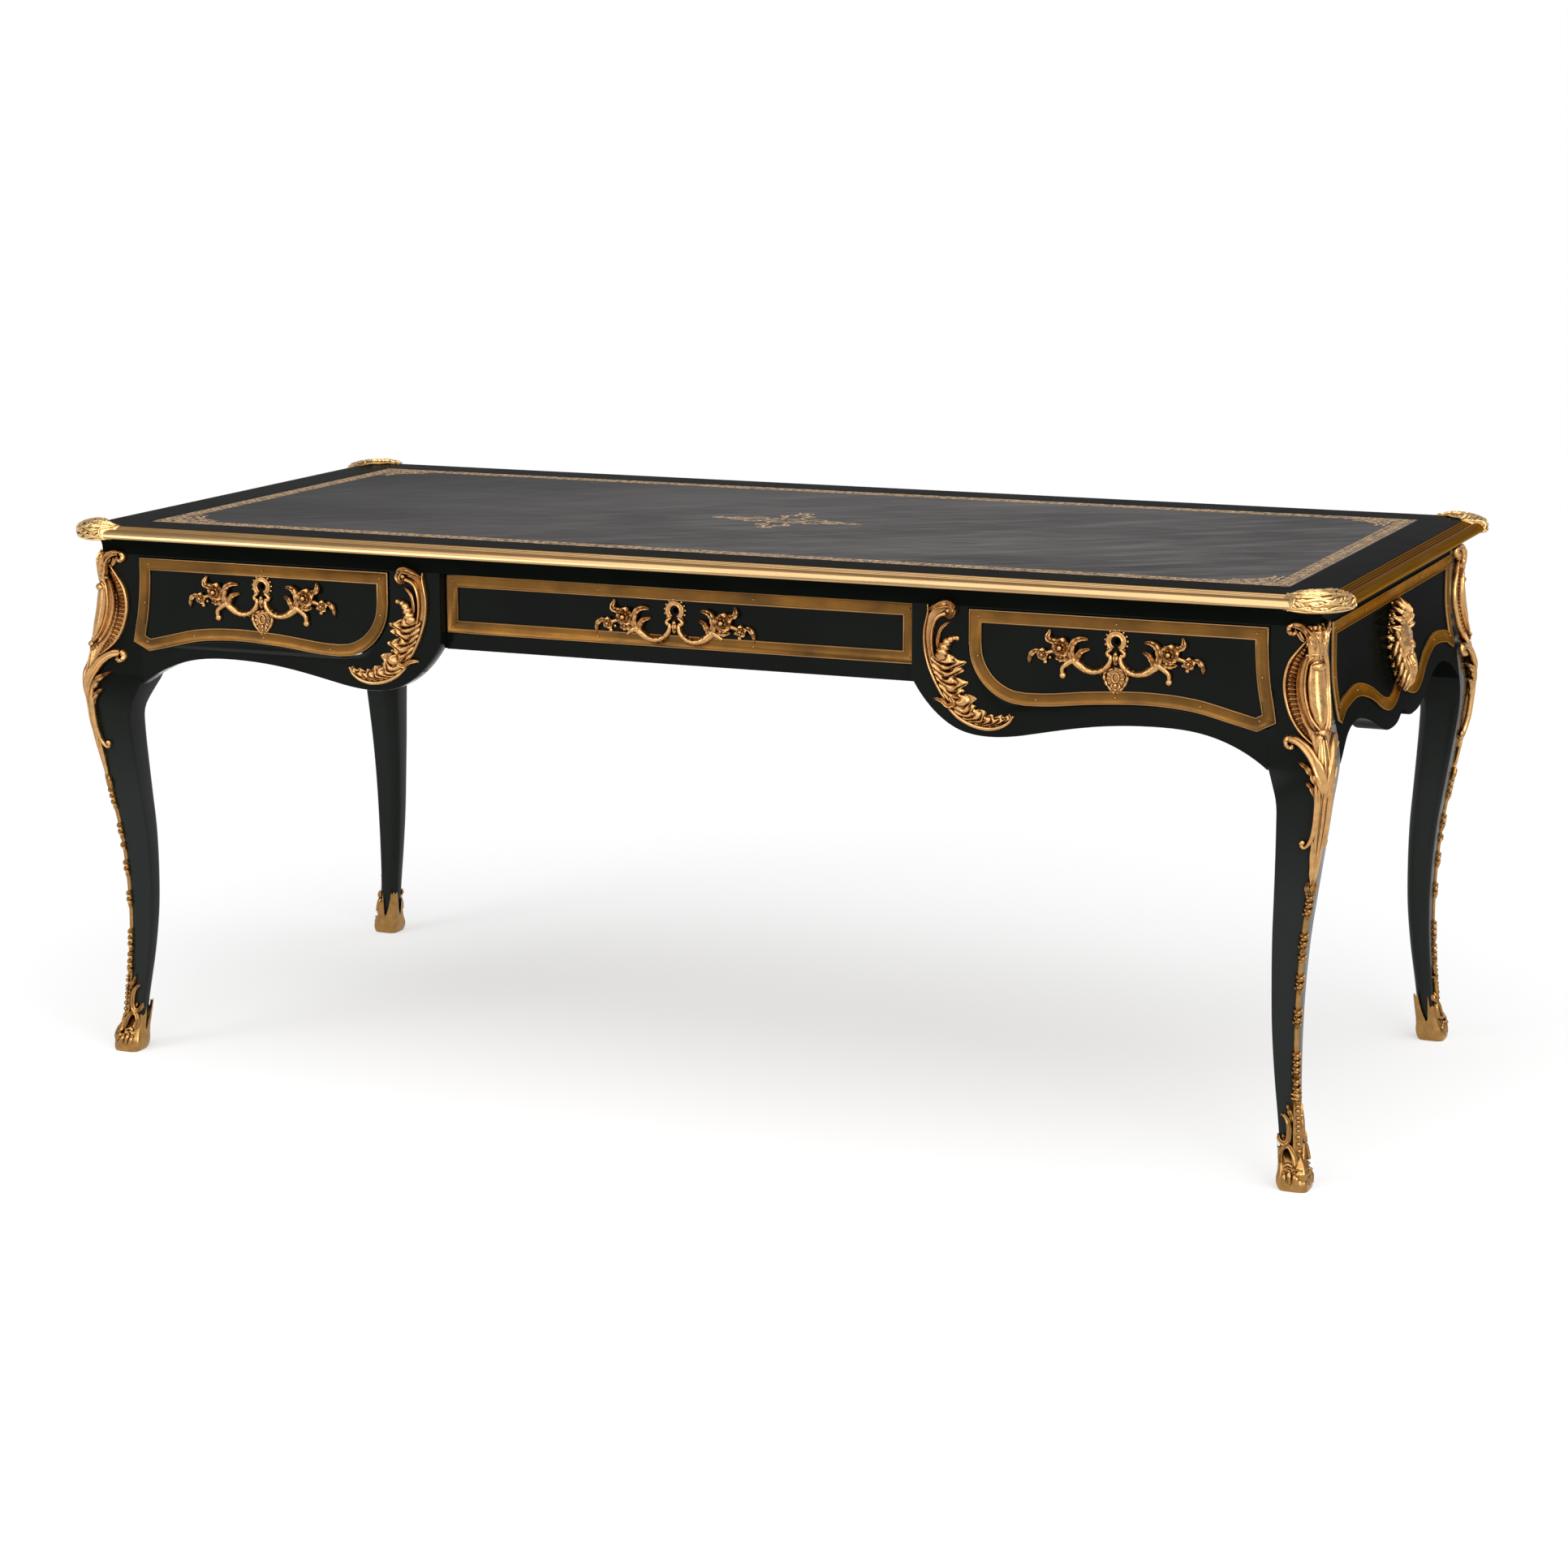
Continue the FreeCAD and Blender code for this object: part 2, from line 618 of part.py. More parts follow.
def side_profile(inner, outer, low):
    """Upright section of an end, swelling outwards like the legs; reach is from the frame's face."""
    top = mm("carcass_top")
    heights = [low] + [share * mm("shoulder") for share, *_ in reversed(LEG_LEVELS)
                       if share * mm("shoulder") > low]
    heights.append(top)
    outside = [Vector(mm("half_x") + leg_at(height)[0] + outer, 0, height) for height in heights]
    if inner is None:
        inside = [Vector(mm("half_x") - mm("board_thickness"), 0, height) for height in (top, low)]
    else:
        inside = [Vector(mm("half_x") + leg_at(height)[0] + inner, 0, height) for height in reversed(heights)]
    corners = outside + inside
    return Part.Face(Part.makePolygon(corners + corners[:1]))


def build_sides():
    width = mm("post_y")
    low = mm("head") - mm("side_lobe_drop") - mm("board_thickness")
    reach = mm("frame_length")
    blank = side_profile(None, 0, low)
    blank.translate(Vector(0, -width, 0))
    window = slab(side_edges(width, mm("carcass_top"), 0, True), 0, reach, ACROSS)
    board = blank.extrude(Vector(0, 2 * width, 0)).common(window)
    apron = node(shaped("side_board", board), "side_apron_right")
    node(mirrored("side_board_mirror", apron, ACROSS), "side_apron_left")

    relief, band = mm("banding_relief"), mm("banding_width")
    skin = side_profile(0, relief, low)
    skin.translate(Vector(0, -width, 0))
    skin = skin.extrude(Vector(0, 2 * width, 0))
    outer_width = width - SIDE_FRAME_MARGIN
    frame_top = mm("head") - mm("drawer_gap")
    outer = slab(side_edges(outer_width, frame_top, SIDE_FRAME_RISE, False), 0, reach, ACROSS)
    inner_edges = side_edges(outer_width - band, frame_top - band, SIDE_FRAME_RISE + band, False)
    inner = slab(inner_edges, 0, reach, ACROSS)
    banding = shaped("side_band", skin.common(outer).cut(inner))
    node(group("side_bands", [banding, mirrored("side_band_mirror", banding, ACROSS)]), "side_bandings")

    mask = shaped("mask_shape", side_mask(side_profile(-mm("half_x"), 0, low), banding.Shape))
    node(group("masks", [mask, mirrored("mask_mirror", mask, ACROSS)]), "side_masks")


def side_mask(profile, banding):
    """Room for the cast mask: an egg that stands out of the end's face."""
    half_height, half_width = mm("mask_height") / 2, mm("mask_width") / 2
    ball = Part.makeSphere(1)
    stretch = FreeCAD.Matrix()
    stretch.scale(mm("mask_relief"), half_width, half_height)
    egg = ball.transformGeometry(stretch)
    middle = mm("head") - mm("drawer_gap") - mm("banding_width") - half_height
    egg.translate(Vector(mm("half_x") + leg_at(middle)[0], 0, middle))
    profile.translate(Vector(0, -half_width * 2, 0))
    standing = egg.cut([profile.extrude(Vector(0, half_width * 4, 0)), banding])
    return max(standing.Solids, key=lambda solid: solid.Volume)


def build_inside():
    board = block("partition", ("knee_half", "partition_x"), ("-front_back", "centre_back"),
                  ("rail_base", "carcass_top"))
    notch = block("partition_notch", ("knee_half", "partition_x"),
                  ("-front_back", "-half_y + top_rail_depth"), ("head", "carcass_top"))
    partition = node(cut("partition_cut", board, notch), "partition_right")
    node(mirrored("partition_mirror", partition, ACROSS), "partition_left")

    inner = block("inner_runner", ("partition_x", "drawer_left + box_inset + runner_bearing"),
                  ("-front_back", "centre_back"), ("side_floor - runner_height", "side_floor"))
    outer = block("outer_runner", ("drawer_right - box_inset - runner_bearing", "post_x"),
                  ("-front_back", "front_back"), ("side_floor - outer_runner_height", "side_floor"))
    middle = block("centre_runner", ("centre_edge - box_inset - runner_bearing", "knee_half"),
                   ("-centre_back", "centre_back"), ("centre_floor - runner_height", "centre_floor"))
    runners = [inner, outer, middle]
    node(group("runners", runners + [mirrored(f"{piece.Name}_mirror", piece, ACROSS) for piece in runners]),
         "drawer_runners")

    side_end = "-side_back + drawer_depth + running_clearance"
    centre_end = "-centre_drawer_back + drawer_depth + running_clearance"
    stops = [block("inner_stop", ("drawer_left + box_inset", "drawer_left + box_inset + drawer_wall"),
                   (side_end, f"{side_end} + stop_length"), ("side_floor", "side_floor + stop_height")),
             block("outer_stop", ("drawer_right - box_inset - drawer_wall", "drawer_right - box_inset"),
                   (side_end, f"{side_end} + stop_length"), ("side_floor", "side_floor + stop_height")),
             block("centre_stop", ("centre_edge - box_inset - drawer_wall", "centre_edge - box_inset"),
                   (centre_end, f"{centre_end} + stop_length"),
                   ("centre_floor", "centre_floor + stop_height"))]
    node(group("stops", stops + [mirrored(f"{piece.Name}_mirror", piece, ACROSS) for piece in stops]),
         "drawer_stops")


def drawer_box(hand, left, right, front, floor):
    """Sides and back with a groove for the bottom panel, and the panel in it."""
    base = f"{floor} + running_clearance"
    end = f"-{front} + drawer_depth"
    groove_low = f"{base} + drawer_groove"
    groove_high = f"{groove_low} + drawer_bottom_thickness"
    inner_left = f"{left} + drawer_wall"
    inner_right = f"{right} - drawer_wall"
    panel_x = (f"{inner_left} - drawer_groove", f"{inner_right} + drawer_groove")
    panel_y = (f"-{front}", f"{end} - drawer_wall + drawer_groove")
    near = block(f"{hand}_near_side", (left, inner_left), (f"-{front}", end), (base, "box_top"))
    far = block(f"{hand}_far_side", (inner_right, right), (f"-{front}", end), (base, "box_top"))
    back = block(f"{hand}_back", (inner_left, inner_right), (f"{end} - drawer_wall", end), (base, "box_top"))
    panel = block(f"{hand}_panel", panel_x, panel_y, (groove_low, groove_high))
    walls = [cut(f"{wall.Name}_grooved", wall, panel) for wall in (near, far, back)]
    return group(f"{hand}_box", walls), panel


def lock(hand, middle, front):
    """A lock case on the front's inner face, with a bolt that slides up out of its slot."""
    case = block(f"{hand}_case", (f"{middle} - lock_width / 2", f"{middle} + lock_width / 2"),
                 (f"-{front}", f"-{front} + lock_depth"), ("drawer_top - lock_height", "drawer_top"))
    bolt_x = (f"{middle} - bolt_width / 2", f"{middle} + bolt_width / 2")
    bolt_y = (f"-{front} + lock_depth / 2 - bolt_depth / 2", f"-{front} + lock_depth / 2 + bolt_depth / 2")
    slot = block(f"{hand}_slot", (f"{bolt_x[0]} - bolt_clearance", f"{bolt_x[1]} + bolt_clearance"),
                 (f"{bolt_y[0]} - bolt_clearance", f"{bolt_y[1]} + bolt_clearance"),
                 ("drawer_top - bolt_length - bolt_clearance", "drawer_top"))
    keyway = bore(f"{hand}_keyway", "keyhole_radius", middle, f"-{front}", "keyhole_z", "lock_depth")
    bolt = block(f"{hand}_bolt", bolt_x, bolt_y, ("drawer_top - bolt_length", "drawer_top"))
    return cut(f"{hand}_lock", case, slot, keyway), bolt


# Cast pull: bosses as distance from the middle, height from the keyhole and radius
PULL_BOSSES = [(60.0, -17.0, 8.0), (72.0, -10.0, 12.0), (87.0, -16.0, 9.5), (99.0, -21.0, 9.0)]
PULL_RING = 11.5
PULL_RING_WIRE = 3.5
PULL_ARM = 23.0
PULL_ARM_WIRE = 4.5
PULL_ARM_OFFSET = 31.0
PULL_ARM_DROP = 18.5
PULL_PENDANT = (48.0, 12.5)
PULL_ROOM = 200.0


def pull(middle, face, pendant):
    """A scrolled pull round the keyhole: ring, two arms and leafy ends, all lying on the drawer's face."""
    eye = Vector(middle, -face, mm("keyhole_z"))
    stand = Vector(0, -mm("pull_relief"), 0)
    pieces = [Part.makeTorus(PULL_RING, PULL_RING_WIRE, eye + stand / 3, FRONT_TO_BACK)]
    for side in (-1, 1):
        arm = Part.makeTorus(PULL_ARM, PULL_ARM_WIRE, Vector(), FRONT_TO_BACK)
        hub = eye + Vector(side * PULL_ARM_OFFSET, 0, -PULL_ARM_DROP)
        arm.translate(hub + stand / 2)
        above = Part.makeBox(4 * PULL_ARM, 4 * PULL_ARM, 4 * PULL_ARM, hub - Vector(2, 2, 0) * PULL_ARM)
        pieces.append(arm.cut(above))
        for reach, rise, radius in PULL_BOSSES:
            pieces.append(Part.makeSphere(radius, eye + stand / 2 + Vector(side * reach, 0, rise)))
    if pendant:
        drop, radius = PULL_PENDANT
        pieces.append(Part.makeSphere(radius, eye + stand / 3 + Vector(0, 0, -drop)))
        foot = eye + stand / 2 - Vector(0, 0, drop)
        pieces.append(Part.makeCylinder(PULL_ARM_WIRE, drop - PULL_RING, foot))
    bridge = eye + stand / 2 - Vector(PULL_RING, 0, PULL_RING + PULL_RING_WIRE)
    pieces.append(Part.makeCylinder(PULL_ARM_WIRE, 2 * PULL_RING, bridge, ACROSS))
    behind = Part.makeBox(2 * PULL_ROOM, PULL_ROOM, 2 * PULL_ROOM, eye - Vector(PULL_ROOM, 0, PULL_ROOM))
    return pieces[0].fuse(pieces[1:]).cut(behind)


def side_drawer():
    front_face, front_back = mm("half_y"), mm("side_back")
    panel = slab(drawer_edges(0), -front_face, -front_back, FRONT_TO_BACK)
    keyhole = Part.makeCylinder(mm("keyhole_radius"), front_face, Vector(mm("drawer_middle"), -front_face,
                                                                         mm("keyhole_z")), FRONT_TO_BACK)
    relief = mm("banding_relief")
    banding = slab(drawer_edges(0), -front_face - relief, -front_face, FRONT_TO_BACK).cut(
        slab(drawer_edges(mm("banding_width")), -front_face - relief, -front_face, FRONT_TO_BACK))
    box, bottom = drawer_box("right", "drawer_left + box_inset", "drawer_right - box_inset", "side_back",
                             "side_floor")
    case, bolt = lock("right", "drawer_middle", "side_back")
    pieces = {"front": shaped("right_front", panel.cut(keyhole)), "box": box, "bottom": bottom,
              "banding": shaped("right_banding", banding),
              "pull": shaped("right_pull", pull(mm("drawer_middle"), front_face, True).cut(banding)),
              "lock": case, "lock_bolt": bolt}
    for part, piece in pieces.items():
        node(piece, f"right_drawer_{part}")
        if part == "pull":
            copy = shaped("left_pull", pull(-mm("drawer_middle"), front_face, True).cut(
                banding.mirror(Vector(), ACROSS)))
        else:
            copy = mirrored(f"left_{part}", piece, ACROSS)
        node(copy, f"left_drawer_{part}")
    return pieces


def centre_drawer():
    face = mm("centre_face")
    board = block("centre_front", ("-centre_edge", "centre_edge"), ("-centre_face", "-centre_drawer_back"),
                  ("rail_top + drawer_gap", "drawer_top"))
    keyhole = bore("centre_keyhole", "keyhole_radius", "0", "-centre_face", "keyhole_z",
                   "drawer_front_thickness")
    frame_y = ("-centre_face - banding_relief", "-centre_face")
    outer = block("centre_band", ("-centre_edge", "centre_edge"), frame_y,
                  ("rail_top + drawer_gap", "drawer_top"))
    inner = block("centre_band_inner", ("-centre_edge + banding_width", "centre_edge - banding_width"),
                  frame_y, ("rail_top + drawer_gap + banding_width", "drawer_top - banding_width"))
    box, bottom = drawer_box("centre", "-centre_edge + box_inset", "centre_edge - box_inset",
                             "centre_drawer_back", "centre_floor")
    case, bolt = lock("centre", "0", "centre_drawer_back")
    banding = cut("centre_banding", outer, inner)
    doc.recompute()
    pieces = {"front": cut("centre_front_bored", board, keyhole), "box": box, "bottom": bottom,
              "banding": banding,
              "pull": shaped("centre_pull", pull(0.0, face, False).cut(banding.Shape)),
              "lock": case, "lock_bolt": bolt}
    for part, piece in pieces.items():
        node(piece, f"centre_drawer_{part}")
    return pieces


def build_drawers():
    side = side_drawer()
    centre = centre_drawer()
    right = mirrored("back_banding_right", side["banding"], FRONT_TO_BACK)
    left = mirrored("back_banding_left", right, ACROSS)
    middle = mirrored("back_banding_centre", centre["banding"], FRONT_TO_BACK)
    node(group("back_banding_group", [right, middle, left]), "back_bandings")
    places = ((-mm("drawer_middle"), mm("half_y"), True), (0.0, mm("centre_face"), False),
              (mm("drawer_middle"), mm("half_y"), True))
    side_band = side["banding"].Shape
    bands = [centre["banding"].Shape, side_band, side_band.mirror(Vector(), ACROSS)]
    pulls = [shaped(f"back_pull_{index}", pull(*place).cut(bands).rotated(Vector(), Vector(0, 0, 1), 180))
             for index, place in enumerate(places)]
    node(group("back_pull_group", pulls), "back_pulls")


# Scroll mount on a pedestal's inner corner: distances from the kneehole's edge and below the drawer head
SCROLL_OUTER = [(50, 2), (26, 2), (13, 20), (9, 42), (13, 68), (26, 96), (44, 117), (74, 146), (104, 158),
                (140, 159)]
SCROLL_INNER = [(140, 159), (118, 146), (94, 124), (78, 104), (67, 80), (56, 58), (48, 34), (60, 12),
                (50, 2)]


def build_scrolls():
    knee, head = mm("knee_half"), mm("head")
    edges = [edge_through([Vector(knee + out, 0, head - drop) for out, drop in side])
             for side in (SCROLL_OUTER, SCROLL_INNER)]
    face = -mm("half_y")
    front_right = shaped("scroll_fr", slab(edges, face - mm("scroll_relief"), face, FRONT_TO_BACK))
    front_left = mirrored("scroll_fl", front_right, ACROSS)
    back_right = mirrored("scroll_br", front_right, FRONT_TO_BACK)
    back_left = mirrored("scroll_bl", back_right, ACROSS)
    node(group("scrolls", [front_right, front_left, back_right, back_left]), "scroll_mounts")


def check_and_write():
    doc.recompute()
    for piece in doc.Objects:
        failed = [state for state in piece.State if state in ("Invalid", "Error")]
        if failed:
            raise RuntimeError(f"{piece.Name}: {failed}")
    for piece in nodes:
        if piece.Shape.isNull() or not piece.Shape.isValid() or not piece.Shape.Solids:
            raise RuntimeError(f"{piece.Label}: bad shape")
    os.makedirs("parts", exist_ok=True)
    for piece in nodes:
        piece.Shape.exportStep(f"parts/{piece.Label}.step")
    print(f"{len(nodes)} nodes, {sum(len(piece.Shape.Solids) for piece in nodes)} solids")


fill_sheet()
build_top()
build_legs()
build_front()
build_back()
build_sides()
build_inside()
build_drawers()
build_scrolls()
check_and_write()
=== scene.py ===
"""Finishes a bureau plat around its built frame: lacquer, gilt mounts, brass bandings and tooled leather.

Shapes are modelled in millimetres and brought to metres when a piece is put on the desk. Cast mounts are
modelled flat, as (across, up, out), and then laid on the face that carries them.
"""
from bisect import bisect
from functools import lru_cache
from math import cos, exp, pi, radians, sin, tau

import bmesh
import bpy
from mathutils import Matrix, Vector


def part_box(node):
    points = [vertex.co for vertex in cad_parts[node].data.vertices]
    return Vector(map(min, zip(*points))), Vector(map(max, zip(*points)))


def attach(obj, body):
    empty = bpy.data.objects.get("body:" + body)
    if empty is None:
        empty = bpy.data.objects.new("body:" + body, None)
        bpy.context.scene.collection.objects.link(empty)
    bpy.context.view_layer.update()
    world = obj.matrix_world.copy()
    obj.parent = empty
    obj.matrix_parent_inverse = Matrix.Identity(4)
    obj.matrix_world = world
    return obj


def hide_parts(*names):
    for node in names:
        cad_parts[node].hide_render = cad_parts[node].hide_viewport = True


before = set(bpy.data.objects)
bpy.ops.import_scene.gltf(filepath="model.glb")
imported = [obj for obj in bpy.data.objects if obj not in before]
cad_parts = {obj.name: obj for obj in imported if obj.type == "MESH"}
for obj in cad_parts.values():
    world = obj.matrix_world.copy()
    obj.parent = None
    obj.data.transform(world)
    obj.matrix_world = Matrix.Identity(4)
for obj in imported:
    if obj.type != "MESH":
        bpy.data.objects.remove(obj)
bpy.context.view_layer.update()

bl_info = {
    "name": "Bureau plat",
    "version": (1, 0, 0),
    "blender": (4, 5, 0),
    "location": "View3D > Sidebar > Bureau plat",
    "description": "Finishes an ebonised writing desk with gilt-bronze mounts around its built frame",
    "category": "Object",
}

MM = 0.001
JOIN = 0.01


def cad_box(node):
    """Lowest and highest corner of a built piece, in millimetres."""
    low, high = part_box(node)
    return low / MM, high / MM


# Places on the frame
APRON_LOW, APRON_HIGH = cad_box("front_apron_right")
POST, FACE, HEAD = APRON_HIGH.x, -APRON_LOW.y, APRON_HIGH.z
END_LOW, END_HIGH = cad_box("side_apron_right")
POST_Y = END_HIGH.y
POST_WIDTH = FACE - POST_Y
HALF_X = POST + POST_WIDTH
CARCASS_TOP = END_HIGH.z
DRAWER_LOW, DRAWER_HIGH = cad_box("right_drawer_front")
DRAWER_MIDDLE = (DRAWER_LOW.x + DRAWER_HIGH.x) / 2
CENTRE_LOW, CENTRE_HIGH = cad_box("centre_drawer_front")
CENTRE_FACE = -CENTRE_LOW.y
LONG_LOW, LONG_HIGH = cad_box("edge_mouldings_long")
SHORT_HIGH = cad_box("edge_mouldings_short")[1]
EDGE_X, EDGE_Y = SHORT_HIGH.x, LONG_HIGH.y
ARM_X, ARM_Y = LONG_HIGH.x, SHORT_HIGH.y
MOULDING_BASE = LONG_LOW.z
CORNICE_FOOT = cad_box("cornice_moulding")[0].z
LEATHER_HIGH = cad_box("writing_leather")[1]
KEYHOLE_DROP = 32.0
KEYHOLE = HEAD - KEYHOLE_DROP
CORNERS = {"front_right": (1, 1), "front_left": (-1, 1), "back_right": (1, -1), "back_left": (-1, -1)}


# Colours

def linear(code):
    """An sRGB hex colour as the linear colour that shaders take."""
    channels = [int(code[place:place + 2], 16) / 255 for place in (1, 3, 5)]
    return [value / 12.92 if value <= 0.04045 else ((value + 0.055) / 1.055) ** 2.4 for value in channels]


def colour(name, code, description):
    """A colour that a user may change."""
    return bpy.props.FloatVectorProperty(name=name, description=description, subtype="COLOR", size=3, min=0,
                                         max=1, default=linear(code))


def length(name, millimetres, description):
    """A size that a user may change."""
    return bpy.props.FloatProperty(name=name, description=description, unit="LENGTH", min=0,
                                   default=millimetres * MM)


class BureauSizes(bpy.types.PropertyGroup):
    """Sizes of the finished pieces"""
    arris_round: length("Arris", 4.0, "Rounding of the leg's outer edge")
    foot_round: length("Leg edges", 5.0, "Rounding of the free leg's other edges")
    board_ease: length("Board edges", 1.2, "Rounding of the boards' lower edges")
    banding_bead: length("Banding bead", 1.3, "Height of the bead along each edge of a banding")
    pin_radius: length("Banding pins", 1.5, "Radius of the pins that hold the bandings")
    pull_arm: length("Pull arm", 3.6, "Half the thickness of a pull's scrolled arm")
    rod_width: length("Arris rod", 5.0, "Half the width of the rod along a leg's arris")
    tooling_pitch: length("Tooling pitch", 14.0, "Distance from one stamp of the gold border to the next")
    tooling_relief: length("Tooling relief", 0.15, "How far the gold stands above the leather")


class BureauFinishes(bpy.types.PropertyGroup):
    """Colours of the finishes"""
    lacquer: colour("Lacquer", "#080A08", "Ebonised wood under polish")
    # Painted sheen: a lighter lacquer for the lower legs, standing in for the reflection along them
    rubbed: colour("Rubbed lacquer", "#1F2220", "Lacquer dulled on the lower legs")
    gilt: colour("Gilding", "#D0A067", "Mercury-gilt bronze on its high places")
    # Painted light: a paler copy of the gilding for the clasps on the top's corners, standing in for the
    # light they catch
    gilt_painted_lit: colour("Burnished gilding", "#EEC98C", "Gilt bronze burnished pale on the corners of the top")
    worn_gilt: colour("Worn gilding", "#AC824C", "Gilt bronze rubbed on the shoes and rods")
    patina: colour("Patina", "#57341A", "Brown left in the hollows of the mounts")
    drawn_brass: colour("Edge moulding", "#B8976C", "Drawn brass round the top")
    # Painted shade: a darker copy of the drawn brass for the ends of the top, standing in for the light the
    # ends miss
    end_brass_painted_shade: colour("End moulding", "#6E5034", "Browner drawn brass on the ends of the top")
    slant: colour("Brass at a slant", "#F0C69C", "What brass takes on where it is seen nearly edge on")
    rolled_brass: colour("Bandings", "#875D2B", "Flat rolled brass of the drawer frames")
    # Tarnish, also painted into the brass's grooves as painted shade
    tarnish_and_groove_shade: colour("Tarnish", "#30291E", "Grey-brown film on the older brass")
    leather: colour("Leather", "#2F2E2E", "Worn black writing leather")
    scuffed: colour("Scuffed leather", "#605E5D", "Leather rubbed grey by use")
    gold_leaf: colour("Tooling", "#DDB07A", "Gold leaf stamped into the leather")
    oak: colour("Oak", "#9A7446", "Oak of the drawers and runners")
    steel: colour("Locks", "#8A8680", "Filed steel of the locks")
    bloom: colour("Lock bloom", "#5C5046", "Brown bloom on the locks")
    floor: colour("Floor", "#F6F6F6", "Studio floor")


# Materials

def add_node(tree, kind, inputs=(), **settings):
    """Adds a node; inputs are values or other nodes' outputs, by socket name or number."""
    node = tree.nodes.new(kind)
    for name, value in settings.items():
        setattr(node, name, value)
    for socket, value in dict(inputs).items():
        if isinstance(value, bpy.types.NodeSocket):
            tree.links.new(value, node.inputs[socket])
        else:
            node.inputs[socket].default_value = value
    return node


def start_material(name):
    """An empty material: its tree, its shader and the piece's own coordinates in metres."""
    material = bpy.data.materials.new(name)
    material.use_nodes = True
    tree = material.node_tree
    shader = tree.nodes["Principled BSDF"]
    place = add_node(tree, "ShaderNodeTexCoord").outputs["Object"]
    return material, tree, shader, place


def opaque(rgb, share=1.0):
    """A colour for a socket, darker or lighter by a share."""
    return (*[channel * share for channel in rgb], 1.0)


def per_metre(millimetres):
    """Texture scale of a pattern whose features are this big."""
    return 1 / (millimetres * MM)


def grain(tree, place, size, detail=3.0, stretch=(1, 1, 1), turn=0.0):
    """Noise whose features have a real size in millimetres, drawn out along an axis that may be turned."""
    mapped = add_node(tree, "ShaderNodeMapping", {"Vector": place, "Scale": stretch,
                                                  "Rotation": (0, 0, turn)}, vector_type="TEXTURE")
    noise = add_node(tree, "ShaderNodeTexNoise", {"Vector": mapped.outputs[0], "Scale": per_metre(size),
                                                  "Detail": detail})
    return noise.outputs["Fac"]


# Where a noise pattern mostly lies
PATTERN_LOW, PATTERN_HIGH = 0.3, 0.7


def toned(tree, pattern, first, second, low=0.0, high=1.0, start=PATTERN_LOW, end=PATTERN_HIGH):
    """Blends two tones: the second's share goes from low to high as a pattern goes from start to end."""
    share = add_node(tree, "ShaderNodeMapRange", {"Value": pattern, "From Min": start, "From Max": end,
                                                  "To Min": low, "To Max": high})
    mix = add_node(tree, "ShaderNodeMix", {0: share.outputs[0], 6: first, 7: second}, data_type="RGBA")
    return mix.outputs[2]


def dress(tree, shader, tone, wear, smoothest, roughest, relief=None, depth=0.0, strength=0.0):
    """Gives a shader its tone, a roughness that follows wear, and fine relief of a depth in millimetres."""
    tree.links.new(tone, shader.inputs["Base Color"])
    rough = add_node(tree, "ShaderNodeMapRange", {"Value": wear, "From Min": PATTERN_LOW,
                                                  "From Max": PATTERN_HIGH, "To Min": smoothest,
                                                  "To Max": roughest})
    tree.links.new(rough.outputs[0], shader.inputs["Roughness"])
    if relief is not None:
        bump = add_node(tree, "ShaderNodeBump", {"Height": relief, "Distance": depth * MM,
                                                 "Strength": strength})
        tree.links.new(bump.outputs[0], shader.inputs["Normal"])


# Heights between which the painted sheen on the legs fades: full below the first, gone above the second
PAINTED_SHEEN_FULL_BELOW, PAINTED_SHEEN_GONE_ABOVE = 380.0, 560.0


def ebonised_lacquer(finishes, name, polish):
    """French-polished black pear: nearly black and glossy, with soft waves, a worn shine, and a painted sheen
    that lightens the lower legs.
    """
    material, tree, shader, place = start_material(name)
    clouds = grain(tree, place, 140.0)
    wear = grain(tree, place, 40.0, 6.0)
    waves = grain(tree, place, 30.0, 1.0)
    tone = toned(tree, clouds, opaque(finishes.lacquer), opaque(finishes.lacquer, 1.6))
    height = add_node(tree, "ShaderNodeSeparateXYZ", {0: place}).outputs["Z"]
    # Painted sheen: the lacquer is painted lighter towards the feet, standing in for light reflected on the
    # lower legs
    tone = toned(tree, height, tone, opaque(finishes.rubbed), 1, 0, PAINTED_SHEEN_FULL_BELOW * MM, PAINTED_SHEEN_GONE_ABOVE * MM)
    dress(tree, shader, tone, wear, 0.1, 0.2, waves, 0.2, 0.15)
    shader.inputs["Specular IOR Level"].default_value = polish
    return material


def gilt_bronze(name, tone, hollow_tone):
    """Cast, chased and mercury-gilt bronze: bright on its high places, browner in its hollows."""
    material, tree, shader, place = start_material(name)
    patches = grain(tree, place, 9.0, 4.0)
    polish = grain(tree, place, 4.0, 5.0)
    chasing = grain(tree, place, 1.6)
    hollow = add_node(tree, "ShaderNodeAmbientOcclusion", {"Distance": 6.0 * MM}, samples=6, only_local=True)
    warm = toned(tree, patches, opaque(tone), opaque(tone, 0.7))
    cleaned = toned(tree, hollow.outputs["AO"], opaque(hollow_tone), warm, 0, 1, 0.35, 0.95)
    dress(tree, shader, cleaned, polish, 0.2, 0.36, chasing, 0.15, 0.25)
    shader.inputs["Metallic"].default_value = 1.0
    return material


